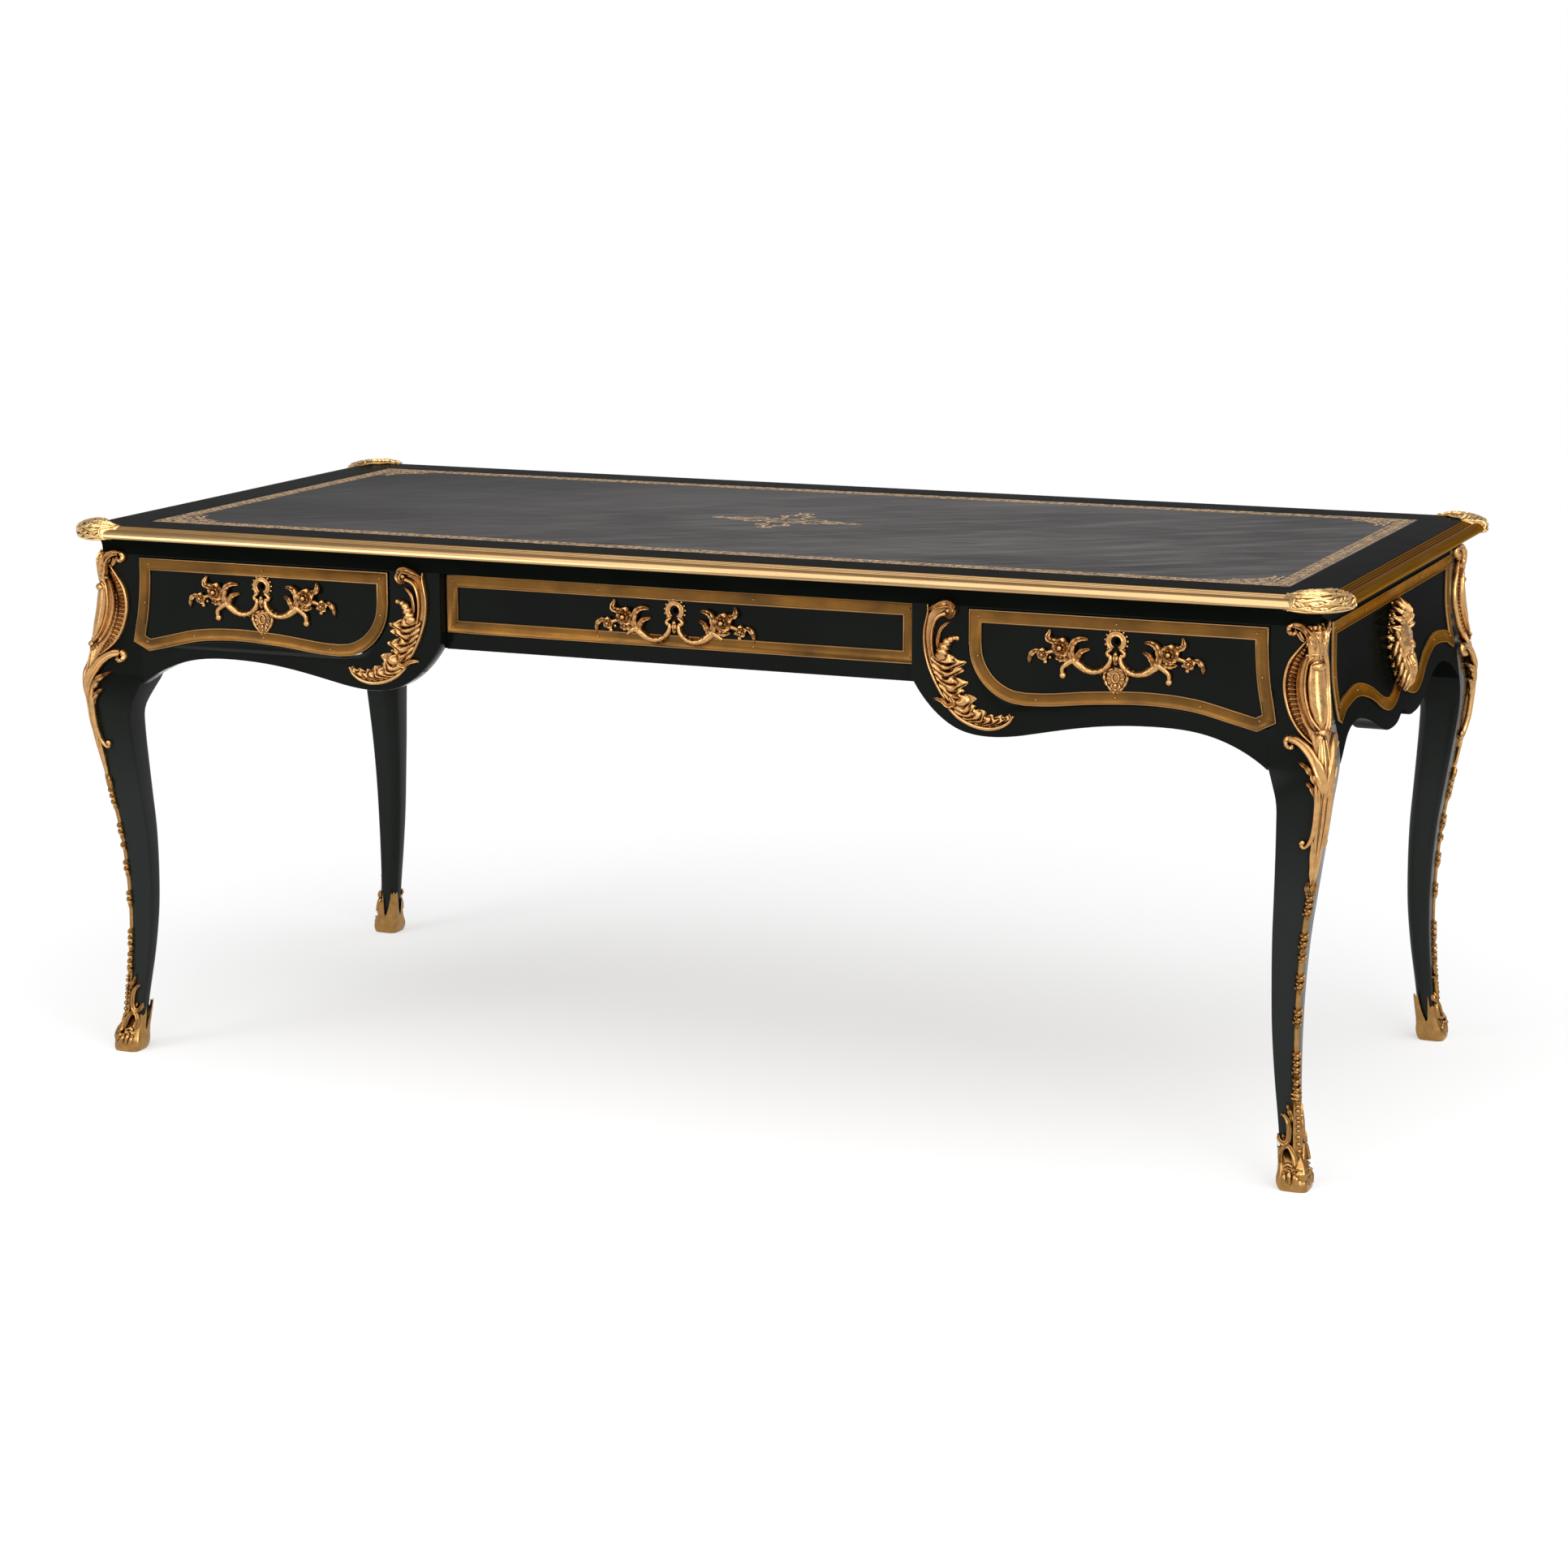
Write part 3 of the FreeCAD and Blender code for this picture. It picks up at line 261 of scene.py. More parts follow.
def brass(name, finishes, tone, shine, stretch, film, slant):
    """Drawn or rolled brass: lines along the draw, a patchy brown film, grooves darkened with tarnish and
    painted shade, and sharp edges painted pale as a painted highlight.
    """
    material, tree, shader, place = start_material(name)
    # Real draw lines are finer; they are drawn this coarse so that they show
    lines = grain(tree, place, 2.0, 2.0, stretch)
    patches = grain(tree, place, 60.0, 6.0)
    filmed = toned(tree, patches, opaque(tone), opaque(finishes.tarnish_and_groove_shade), 0, film)
    drawn = toned(tree, lines, filmed, opaque(tone, 0.5), 0, 0.35)
    # Painted highlight: sharp ridges, the beads and reeds, are painted paler
    ridge = add_node(tree, "ShaderNodeNewGeometry").outputs["Pointiness"]
    rubbed = toned(tree, ridge, drawn, opaque(finishes.drawn_brass), 0, 0.8, 0.52, 0.6)
    # Darker in the grooves: tarnish, and painted shade where the grooves lie in shade
    groove = add_node(tree, "ShaderNodeAmbientOcclusion", {"Distance": 4.0 * MM}, samples=6, only_local=True)
    cleaned = toned(tree, groove.outputs["AO"], opaque(finishes.tarnish_and_groove_shade), rubbed, 0.1, 1, 0.5, 0.85)
    dress(tree, shader, cleaned, lines, shine, shine + 0.14, lines, 0.05, 0.2)
    shader.inputs["Metallic"].default_value = 1.0
    shader.inputs["Specular Tint"].default_value = opaque(finishes.slant, slant)
    return material


# Painted shade on the leather: strongest left of the first place, gone right of the second
PAINTED_SHADE_MOST_LEFT_OF, PAINTED_SHADE_GONE_RIGHT_OF = -850.0, 0.0


def worn_leather(finishes):
    """Black hide rubbed grey by use: clouds of wear, slanting streaks, scratches, pores and a dull sheen."""
    material, tree, shader, place = start_material("worn_writing_leather")
    clouds = grain(tree, place, 240.0, 5.0, (1.8, 1, 1), radians(20))
    streaks = grain(tree, place, 5.0, 6.0, (26, 1, 1), radians(-6))
    scuffs = grain(tree, place, 34.0, 8.0, (5, 1, 1), radians(38))
    scratches = grain(tree, place, 2.2, 2.0, (70, 1, 1), radians(26))
    # Real pores are finer; they are drawn this coarse so that they show
    pores = grain(tree, place, 1.4)
    tone = toned(tree, clouds, opaque(finishes.leather), opaque(finishes.scuffed), 0.05, 0.75)
    tone = toned(tree, streaks, tone, opaque(finishes.leather, 0.6), 0, 0.35)
    tone = toned(tree, scuffs, tone, opaque(finishes.scuffed, 1.25), 0, 0.55, 0.48, 0.72)
    tone = toned(tree, scratches, tone, opaque(finishes.scuffed, 1.8), 0, 0.5, 0.64, 0.7)
    # Painted shade: the left of the leather is painted darker, standing in for less light falling there
    across = add_node(tree, "ShaderNodeSeparateXYZ", {0: place}).outputs["X"]
    tone = toned(tree, across, tone, opaque(finishes.leather, 0.8), 0.75, 0, PAINTED_SHADE_MOST_LEFT_OF * MM,
                 PAINTED_SHADE_GONE_RIGHT_OF * MM)
    dress(tree, shader, tone, scuffs, 0.48, 0.68, pores, 0.12, 0.4)
    shader.inputs["Specular IOR Level"].default_value = 0.05
    return material


def gold_leaf(finishes):
    """Gold leaf stamped into leather, rubbed through in places."""
    material, tree, shader, place = start_material("stamped_gold_leaf")
    rubbed = grain(tree, place, 6.0, 5.0)
    tone = toned(tree, rubbed, opaque(finishes.gold_leaf), opaque(finishes.leather), 0, 0.9, 0.38, 0.64)
    dress(tree, shader, tone, rubbed, 0.35, 0.55)
    shader.inputs["Metallic"].default_value = 0.2
    return material


def sawn_oak(finishes):
    """Quarter-sawn oak, planed and waxed: long brown grain with short dark pores."""
    material, tree, shader, place = start_material("quartered_oak")
    figure = grain(tree, place, 14.0, 4.0, (1, 14, 1))
    # Real pores are finer; they are drawn this coarse so that they show
    pores = grain(tree, place, 1.6, 2.0, (1, 12, 1))
    tone = toned(tree, figure, opaque(finishes.oak), opaque(finishes.oak, 0.6))
    tone = toned(tree, pores, tone, opaque(finishes.oak, 0.3), 0, 0.4)
    dress(tree, shader, tone, pores, 0.5, 0.68, pores, 0.15, 0.3)
    return material


def filed_steel(finishes):
    """Hand-filed lock steel: grey, with fine file lines and a brown bloom."""
    material, tree, shader, place = start_material("filed_steel")
    patches = grain(tree, place, 12.0, 4.0)
    # Real file lines are finer; they are drawn this coarse so that they show
    lines = grain(tree, place, 0.8, 2.0, (18, 1, 1))
    tone = toned(tree, patches, opaque(finishes.steel), opaque(finishes.bloom), 0, 0.6)
    dress(tree, shader, tone, lines, 0.3, 0.46)
    shader.inputs["Metallic"].default_value = 1.0
    return material


# How far the floor is lit from within, and how strong the surroundings are as light, to the eye and in gloss
BACKDROP_SHARE = 0.55
AMBIENT, BACKDROP, BACKDROP_GLOSS = 0.14, 1.0, 0.5


def seen(tree, seen_share, gloss_share, light_share):
    """How strong a backdrop is to the camera, in gloss or through glass, and where it only gives light."""
    path = add_node(tree, "ShaderNodeLightPath").outputs
    gloss = add_node(tree, "ShaderNodeMath", {0: path["Is Glossy Ray"], 1: path["Is Transmission Ray"]},
                     operation="MAXIMUM").outputs[0]
    strengths = {}
    for socket, (ray, share) in enumerate(((path["Is Camera Ray"], seen_share), (gloss, gloss_share))):
        ramp = add_node(tree, "ShaderNodeMapRange", {"Value": ray, "To Min": light_share, "To Max": share})
        strengths[socket] = ramp.outputs[0]
    return add_node(tree, "ShaderNodeMath", strengths, operation="MAXIMUM").outputs[0]


def studio_floor(finishes):
    """Matt painted studio floor, evenly pale; to the camera and in gloss it is partly lit from within."""
    material, tree, shader, place = start_material("painted_floor")
    shade = toned(tree, grain(tree, place, 900.0), opaque(finishes.floor), opaque(finishes.floor, 0.985))
    tree.links.new(shade, shader.inputs["Base Color"])
    shader.inputs["Roughness"].default_value = 0.85
    shader.inputs["Specular IOR Level"].default_value = 0.1
    share = seen(tree, BACKDROP_SHARE, BACKDROP_SHARE, 0)
    glow = add_node(tree, "ShaderNodeEmission", {"Color": (1, 1, 1, 1), "Strength": 1.0})
    both = add_node(tree, "ShaderNodeMixShader", {0: share, 1: shader.outputs[0], 2: glow.outputs[0]})
    tree.links.new(both.outputs[0], tree.nodes["Material Output"].inputs["Surface"])
    return material


# Gloss of the lacquer
POLISHED, WORN_POLISH = 0.07, 0.0005
# Kinds of brass: roughness, how far its lines run along x, y and z, share of film, and strength at a slant
LONG_BRASS = (0.13, (60, 1, 1), 0.35, 1.0)
# The ends' brass also takes a heavier film, which adds to the painted shade on them
SHORT_BRASS = (0.17, (1, 60, 1), 0.6, 0.5)
FLAT_BRASS = (0.32, (12, 12, 1), 0.7, 1.0)
FINISHES = {
    "ebonised_wood": lambda tones: ebonised_lacquer(tones, "ebonised_pearwood", POLISHED),
    "ebonised_ends": lambda tones: ebonised_lacquer(tones, "ebonised_pearwood_worn", WORN_POLISH),
    "gilt_bronze": lambda tones: gilt_bronze("gilt_bronze", tones.gilt, tones.patina),
    "worn_gilt": lambda tones: gilt_bronze("worn_gilt_bronze", tones.worn_gilt, tones.patina),
    # The clasps' gilding is a paler copy, painted light for the top's corners
    "gilt_painted_lit_finish": lambda tones: gilt_bronze("gilt_bronze_painted_lit", tones.gilt_painted_lit, tones.worn_gilt),
    "tooled_leather": worn_leather,
    "gold_leaf": gold_leaf,
    "oak": sawn_oak,
    "lock_steel": filed_steel,
    "floor": studio_floor,
    "long_moulding": lambda tones: brass("drawn_brass_long", tones, tones.drawn_brass, *LONG_BRASS),
    # The ends' moulding is painted darker as painted shade
    "short_moulding": lambda tones: brass("drawn_brass_short", tones, tones.end_brass_painted_shade, *SHORT_BRASS),
    "flat_brass": lambda tones: brass("rolled_brass", tones, tones.rolled_brass, *FLAT_BRASS),
}


@lru_cache
def finish(kind):
    """The material of a finish, made once."""
    return FINISHES[kind](bpy.context.scene.bureau_finishes)


# Pieces

# Angles from which an edge stays sharp
BOARD_SHARP, EASED_SHARP, REED_SHARP, CAST_SHARP, CHASED_SHARP = 45.0, 30.0, 50.0, 60.0, 70.0


def put(bm, name, slot, nodes=(), body="carcass", kind=None, sharp=BOARD_SHARP):
    """Puts a modelled shape on the desk: closed, in metres, smooth up to an angle, riding on its body."""
    bmesh.ops.holes_fill(bm, edges=[edge for edge in bm.edges if edge.is_boundary], sides=0)
    bmesh.ops.recalc_face_normals(bm, faces=bm.faces)
    bmesh.ops.scale(bm, vec=Vector((MM, MM, MM)), verts=bm.verts)
    mesh = bpy.data.meshes.new(name)
    bm.to_mesh(mesh)
    bm.free()
    mesh.shade_smooth()
    mesh.set_sharp_from_angle(angle=radians(sharp))
    mesh.materials.append(finish(kind or slot))
    piece = bpy.data.objects.new(name, mesh)
    bpy.context.scene.collection.objects.link(piece)
    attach(piece, body)
    if nodes:
        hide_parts(*nodes)


def paint(kind, *nodes):
    """Gives built pieces that keep their shape their finish."""
    for name in nodes:
        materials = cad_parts[name].data.materials
        materials.clear()
        materials.append(finish(kind))


def joined(bm, other):
    """Adds another shape to this one."""
    mesh = bpy.data.meshes.new("part")
    other.to_mesh(mesh)
    other.free()
    bm.from_mesh(mesh)
    bpy.data.meshes.remove(mesh)
    return bm


def scaled_copy(bm, x, y):
    """A copy for another corner or side of the desk."""
    copy = bm.copy()
    bmesh.ops.scale(copy, vec=Vector((x, y, 1)), verts=copy.verts)
    return copy


def put_at_corners(bm, name, slot, node, **settings):
    """Puts a shape made for the front right corner on all four corners."""
    for corner, (x, y) in CORNERS.items():
        put(scaled_copy(bm, x, y), f"{name}_{corner}", slot, [f"{node}_{corner}"], **settings)


def add_mirrored(bm, x=1, y=1):
    """Adds the mirror image of everything so far."""
    copies = bmesh.ops.duplicate(bm, geom=[*bm.verts, *bm.edges, *bm.faces])["geom"]
    verts = [item for item in copies if isinstance(item, bmesh.types.BMVert)]
    bmesh.ops.scale(bm, vec=Vector((x, y, 1)), verts=verts)


def lay(bm, place):
    """Lays a flat shape on the desk; place turns across, up and out into a point."""
    for vert in bm.verts:
        vert.co = place(*vert.co)


def skin(bm, along, around, shape):
    """A sheet of quads moved to shape(s, t), with s and t from 0 to 1; edges that meet are joined."""
    sheet = bmesh.new()
    bmesh.ops.create_grid(sheet, x_segments=along, y_segments=around, size=1)
    for vert in sheet.verts:
        vert.co = shape((vert.co.x + 1) / 2, (vert.co.y + 1) / 2)
    bmesh.ops.remove_doubles(sheet, verts=sheet.verts, dist=JOIN)
    joined(bm, sheet)


def through(points, steps=6):
    """Points on a smooth curve through the given ones."""
    points = [Vector(point) for point in points]
    if len(points) == 2:
        return [points[0].lerp(points[1], step / steps) for step in range(steps + 1)]
    ends = [2 * points[0] - points[1], *points, 2 * points[-1] - points[-2]]
    curve = []
    for before, here, there, after in zip(ends, ends[1:], ends[2:], ends[3:]):
        for step in range(steps):
            t = step / steps
            bend = 2 * before - 5 * here + 4 * there - after + t * (3 * (here - there) + after - before)
            curve.append(here + 0.5 * t * (there - before + t * bend))
    return curve + [points[-1]]


def level(rows, place):
    """A height read off a broken line of (place, height) rows."""
    for (start, low), (end, high) in zip(rows, rows[1:]):
        if place <= end:
            return low + (high - low) * (place - start) / max(end - start, JOIN)
    return rows[-1][1]


def ease(values, s):
    """A value part of the way along a list, easing from one to the next."""
    place = s * (len(values) - 1)
    index = min(int(place), len(values) - 2)
    share = (1 - cos(pi * (place - index))) / 2
    return values[index] * (1 - share) + values[index + 1] * share


def spiral(centre, radius, start, turns, tight=0.35, steps=12):
    """Points that wind in towards a centre from a start angle in degrees; negative turns go clockwise."""
    count = max(int(abs(turns) * steps), 3)
    points = []
    for step in range(count + 1):
        share = step / count
        angle = radians(start + 360 * turns * share)
        reach = radius * (1 - (1 - tight) * share)
        points.append((centre[0] + reach * cos(angle), centre[1] + reach * sin(angle)))
    return points


# Sections of a cast mount: across from -1 to 1, and up from its seat to 1
ROUND = [(cos(pi * step / 8), sin(pi * step / 8)) for step in range(9)] + [(-0.8, -0.2), (0.8, -0.2)]
FLUTED = [(1, 0), (0.97, 0.5), (0.84, 0.84), (0.6, 0.96), (0.34, 0.84), (0.05, 0.72), (-0.25, 0.8),
          (-0.5, 0.98), (-0.78, 0.92), (-0.95, 0.55), (-1, 0), (-0.8, -0.2), (0.8, -0.2)]
VEINED = [(1, 0), (0.94, 0.5), (0.72, 0.78), (0.42, 0.7), (0.18, 0.82), (0, 1), (-0.18, 0.82), (-0.42, 0.7),
          (-0.72, 0.78), (-0.94, 0.5), (-1, 0), (-0.8, -0.2), (0.8, -0.2)]
CUPPED = [(1, 0.2), (1, 0.75), (0.85, 1), (0.6, 0.75), (0.3, 0.5), (0, 0.42), (-0.3, 0.5), (-0.6, 0.75),
          (-0.85, 1), (-1, 0.75), (-1, 0.2), (-0.6, -0.2), (0.6, -0.2)]
BED = [(1, 0), (0.97, 0.7), (0.88, 1), *[(0.7 - 0.14 * step, 1) for step in range(11)], (-0.88, 1),
       (-0.97, 0.7), (-1, 0), (-0.6, -0.2), (0.6, -0.2)]


LOBE_STATIONS = 6
EDGE_FROM = 0.3


def ribbon(bm, path, widths, heights, section=ROUND, steps=5, lobes=0, bite=0.3, ribs=0, groove=0.35):
    """A cast strip along a path; half widths and heights vary along it, lobes notch it and ribs cross it."""
    line = through([Vector(point).to_3d() for point in path], steps)
    last = len(line) - 1
    stations = max(last, LOBE_STATIONS * max(lobes, ribs))

    def shape(s, t):
        place = s * last
        index = min(int(place), last - 1)
        centre = line[index].lerp(line[index + 1], place - index)
        ahead = line[min(index + 2, last)] - line[max(index - 1, 0)]
        across = Vector((-ahead.y, ahead.x, 0)).normalized()
        side, up = section[round(t * len(section)) % len(section)]
        wide, high = ease(widths, s), ease(heights, s)
        if lobes and abs(side) > EDGE_FROM:
            notch = bite * (1 - abs(sin(pi * lobes * s)))
            wide *= 1 - notch
            high *= 1 - notch
        if ribs and up > 0:
            high *= 1 - groove * abs(cos(pi * ribs * s))
        return centre + across * side * wide + Vector((0, 0, up * high))

    skin(bm, stations, len(section), shape)


def bead(bm, across, up, radius, out=0.0, fine=1):
    """A round pearl or boss."""
    ball = bmesh.new()
    place = Matrix.Translation(Vector((across, up, out)))
    bmesh.ops.create_icosphere(ball, subdivisions=fine + 1, radius=radius, matrix=place)
    joined(bm, ball)


def rose(bm, across, up, radius, petals, out):
    """An open flower: two rings of broad cupped petals round a beaded eye."""
    middle = Vector((across, up, out))
    for turn, reach, rise in ((0.25, 1.0, 0.3), (0.75, 0.62, 0.62)):
        lift = Vector((0, 0, radius * rise))
        for petal in range(petals):
            angle = tau * (petal + turn) / petals
            way = Vector((cos(angle), sin(angle), 0)) * radius * reach
            path = [middle + way * 0.2 + lift * 0.6, middle + way * 0.6 + lift,
                    middle + way * 0.95 + lift * 0.5]
            widths = [radius * 0.25, radius * 0.54 * reach, radius * 0.46 * reach, radius * 0.16]
            heights = [radius * 0.36, radius * 0.42, radius * 0.34, radius * 0.2]
            ribbon(bm, path, widths, heights, CUPPED, steps=4)
    bead(bm, across, up, radius * 0.27, out + radius * 0.86)


def leaf(bm, path, width, height, lobes=5, steps=5):
    """A pointed, veined leaf with lobed edges."""
    ribbon(bm, path, [width * 0.4, width, width * 0.85, width * 0.1],
           [height * 0.7, height, height, height * 0.5], VEINED, steps, lobes)


def flipped(points, side):
    """A path on the left of its mount as well as on the right."""
    return [(side * across, *rest) for across, *rest in points]


def upright(*heights):
    """A path straight along the middle of a mount."""
    return [(0, up) for up in heights]


# Legs: height, swell of the arris beyond the frame, width, and how far the inner edges follow the post (1) or
# have become the free leg (0)
LEG_LEVELS = [
    (0, 2.0, 26.0, 0.0), (20, -1.0, 26.0, 0.0), (50, -7.0, 25.5, 0.0), (90, -10.5, 27.0, 0.0),
    (150, -14.0, 31.0, 0.0), (210, -15.0, 35.0, 0.0), (270, -13.0, 38.5, 0.0), (330, -8.0, 43.0, 0.0),
    (380, -1.0, 47.5, 0.0), (430, 6.5, 52.5, 0.0), (480, 14.0, 58.0, 0.0), (510, 17.5, 60.0, 0.1),
    (535, 19.5, 61.0, 0.55), (560, 19.0, 62.0, 1.0), (590, 14.5, 61.0, 1.0), (625, 7.0, 60.0, 1.0),
    (660, 1.5, 60.0, 1.0), (700, 0.0, 60.0, 1.0), (760, 0.0, 60.0, 1.0),
]
LEG_HEIGHTS = [row[0] for row in LEG_LEVELS]
TOE = 6.0
LEG_CHAMFER = 0.2


@lru_cache(maxsize=None)
def leg_at(height):
    """Swell, width and following share of a leg at a height, on a smooth curve through its levels."""
    height = min(max(height, LEG_HEIGHTS[0]), LEG_HEIGHTS[-1] - JOIN)
    index = bisect(LEG_HEIGHTS, height)
    rows = [LEG_LEVELS[min(max(place, 0), len(LEG_LEVELS) - 1)] for place in range(index - 2, index + 2)]
    before, here, there, after = (Vector(row[1:]) for row in rows)
    span = rows[2][0] - rows[1][0]
    t = (height - rows[1][0]) / span
    leaving = (there - before) * span / (rows[2][0] - rows[0][0])
    arriving = (after - here) * span / (rows[3][0] - rows[1][0])
    return (here * (1 + 2 * t) * (1 - t) ** 2 + leaving * t * (1 - t) ** 2 + there * t * t * (3 - 2 * t)
            + arriving * t * t * (t - 1))


def on_front(across, up, out):
    """The front's face, which follows the leg beyond the post's inner edge."""
    beyond = max(abs(across) - POST, 0)
    swell = leg_at(round(up, 1))[0]
    return Vector((across, -FACE - out - max(swell, 0) * beyond / (POST_WIDTH + swell), up))


def on_centre(across, up, out):
    """The centre drawer's face, set back from the front."""
    return Vector((across, -CENTRE_FACE - out, up))


def on_end(across, up, out):
    """The right end's face, which swells with its legs."""
    return Vector((HALF_X + leg_at(round(up, 1))[0] + out, across, up))


ARRIS_BEND = 7.0
ARRIS_FLAT = 3.0


def on_arris(across, up, out):
    """The front right leg's arris: across is positive on the front face and negative on the end's."""
    swell, _, follow = leg_at(round(up, 1))
    x, y = HALF_X + swell, FACE + swell
    slope = max(swell, 0) * follow * max(across - ARRIS_FLAT, 0) / (POST_WIDTH + swell - ARRIS_FLAT)
    turn = radians(45 * (1 - min(max(across / ARRIS_BEND, -1), 1)))
    way = Vector((sin(turn), cos(turn)))
    seat = Vector((x - ARRIS_BEND, y - ARRIS_BEND)) + way * ARRIS_BEND
    seat.x -= max(across - ARRIS_BEND, 0)
    seat.y -= max(-across - ARRIS_BEND, 0) + slope
    return Vector((seat.x + way.x * out, -seat.y - way.y * out, up))


def rounded_ring(corners, steps=4):
    """A closed outline in plan with each corner rounded; corners are x, y and radius."""
    ring = []
    for index, (x, y, radius) in enumerate(corners):
        corner = Vector((x, y))
        before = Vector(corners[index - 1][:2])
        after = Vector(corners[(index + 1) % len(corners)][:2])
        start = corner + (before - corner).normalized() * radius
        end = corner + (after - corner).normalized() * radius
        for step in range(steps):
            t = step / (steps - 1)
            ring.append(start * (1 - t) ** 2 + corner * 2 * t * (1 - t) + end * t * t)
    return ring


def leg_ring(height, sizes):
    """The outline of the front right leg at a height."""
    swell, width, follow = leg_at(round(height, 2))
    free = 1 - follow
    x, y = HALF_X + swell, FACE + swell
    inner_x = follow * POST + free * (x - width)
    inner_y = follow * POST_Y + free * (y - width)
    front_y = follow * FACE + free * y
    arris, foot = sizes.arris_round / MM, sizes.foot_round / MM * free + JOIN
    chamfer = LEG_CHAMFER * width * free + ARRIS_FLAT
    corners = [(x, y, arris), (x, inner_y, foot), (inner_x + chamfer, inner_y, foot),
               (inner_x, inner_y + chamfer, foot), (inner_x, front_y, foot)]
    return [Vector((point.x, -point.y, height)) for point in rounded_ring(corners)]


LEG_STATIONS = 90


def cabriole_leg(sizes):
    """A leg with its post, swept through smooth sections from the carcass top to the toe."""
    bm = bmesh.new()
    rings = [leg_ring(TOE + (CARCASS_TOP - TOE) * step / LEG_STATIONS, sizes)
             for step in range(LEG_STATIONS + 1)]
    around = len(rings[0])
    skin(bm, LEG_STATIONS, around, lambda s, t: rings[round(s * LEG_STATIONS)][round(t * around) % around])
    return bm


class BUREAU_OT_legs(bpy.types.Operator):
    """Makes the four ebonised cabriole legs"""
    bl_idname = "bureau.legs"
    bl_label = "Legs"

    def execute(self, context):
        put_at_corners(cabriole_leg(context.scene.bureau_sizes), "ebonised_leg", "ebonised_wood", "leg")
        return {"FINISHED"}


# Lacquered boards

FLAT_ENOUGH, SHARP_EDGE = radians(1), radians(40)


def eased_copy(node, width, chosen, segments=2):
    """A built piece in millimetres, with the chosen edges rounded; chosen looks at an edge's two ends."""
    bm = bmesh.new()
    bm.from_mesh(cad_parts[node].data)
    bmesh.ops.scale(bm, vec=Vector((1 / MM, 1 / MM, 1 / MM)), verts=bm.verts)
    bmesh.ops.remove_doubles(bm, verts=bm.verts, dist=JOIN)
    bmesh.ops.dissolve_limit(bm, angle_limit=FLAT_ENOUGH, verts=bm.verts, edges=bm.edges)
    edges = [edge for edge in bm.edges if len(edge.link_faces) == 2 and edge.calc_face_angle() > SHARP_EDGE
             and chosen(*[vert.co for vert in edge.verts])]
    bmesh.ops.bevel(bm, geom=edges, offset=width, offset_type="OFFSET", affect="EDGES", segments=segments,
                    profile=0.5, material=-1, clamp_overlap=True)
    return bm


# Section of the cove: distance out from the frame, height above its foot, and rounding of its corners
COVE = [(0.6, 0.0, 3.0), (0.9, 3.0, 4.0), (1.5, 7.0, 6.0), (2.5, 11.0, 9.0), (4.0, 14.5, 13.0),
        (6.2, 17.6, 18.0), (8.4, 19.8, 24.0), (8.8, 20.4, 25.0), (8.8, 22.0, 25.0), (0.0, 22.0, 1.0),
        (0.0, 0.0, 1.0)]
CORNER_STEPS = 9


def cove_ring(out, corner):
    """A rectangle round the frame with rounded corners."""
    x, y = HALF_X + out, FACE + out
    return rounded_ring([(x, -y, corner), (x, y, corner), (-x, y, corner), (-x, -y, corner)], CORNER_STEPS)


def cove_moulding():
    """The shallow hollow under the top, sharp over the posts and rounded under the clasps."""
    bm = bmesh.new()
    section = [(cove_ring(out, corner), CORNICE_FOOT + up) for out, up, corner in COVE]
    around = len(section[0][0])

    def shape(s, t):
        ring, up = section[round(t * len(section)) % len(section)]
        return ring[round(s * around) % around].to_3d() + Vector((0, 0, up))

    skin(bm, around, len(section), shape)
    return bm


# Lower edge of an end, from its middle to the leg: distance and height
END_WAVE = [(0.0, 565.5), (31.0, 553.0), (62.5, 550.0), (104.0, 555.0), (173.0, 579.0), (236.0, 591.0),
            (295.0, 582.0), (347.0, 552.0)]
END_ROWS = 26
END_COLUMNS = 96


def end_panel(sizes):
    """An end's board, swelling with the legs, with a waved foot."""
    bm = bmesh.new()
    curve = through(END_WAVE, 8)
    curve[-1].x = END_HIGH.y
    edge = sizes.board_ease / MM
    back = END_LOW.x

    def shape(s, t):
        across = END_HIGH.y * (2 * s - 1)
        foot = level(curve, abs(across))
        row = round(t * (END_ROWS + 3)) % (END_ROWS + 3)
        if row == END_ROWS + 1:
            return Vector((back, across, CARCASS_TOP))
        if row == END_ROWS + 2:
            return Vector((back, across, foot))
        if row == 0:
            return on_end(across, foot, -edge)
        share = (row - 1) / (END_ROWS - 1)
        return on_end(across, foot + edge + (CARCASS_TOP - foot - edge) * share, 0)

    skin(bm, END_COLUMNS, END_ROWS + 3, shape)
    return bm


LACQUERED = ["front_top_rail", "centre_rail", "back_frieze", "right_drawer_front",
             "left_drawer_front", "centre_drawer_front", "partition_right", "partition_left"]


def on_apron_foot(first, second):
    """Whether an edge runs along the free lower edge of a pedestal's apron."""
    middle = (first + second) / 2
    lengthwise = abs(first.y - second.y) < JOIN
    return lengthwise and middle.z < HEAD - 1 and abs(middle.x) < POST - JOIN


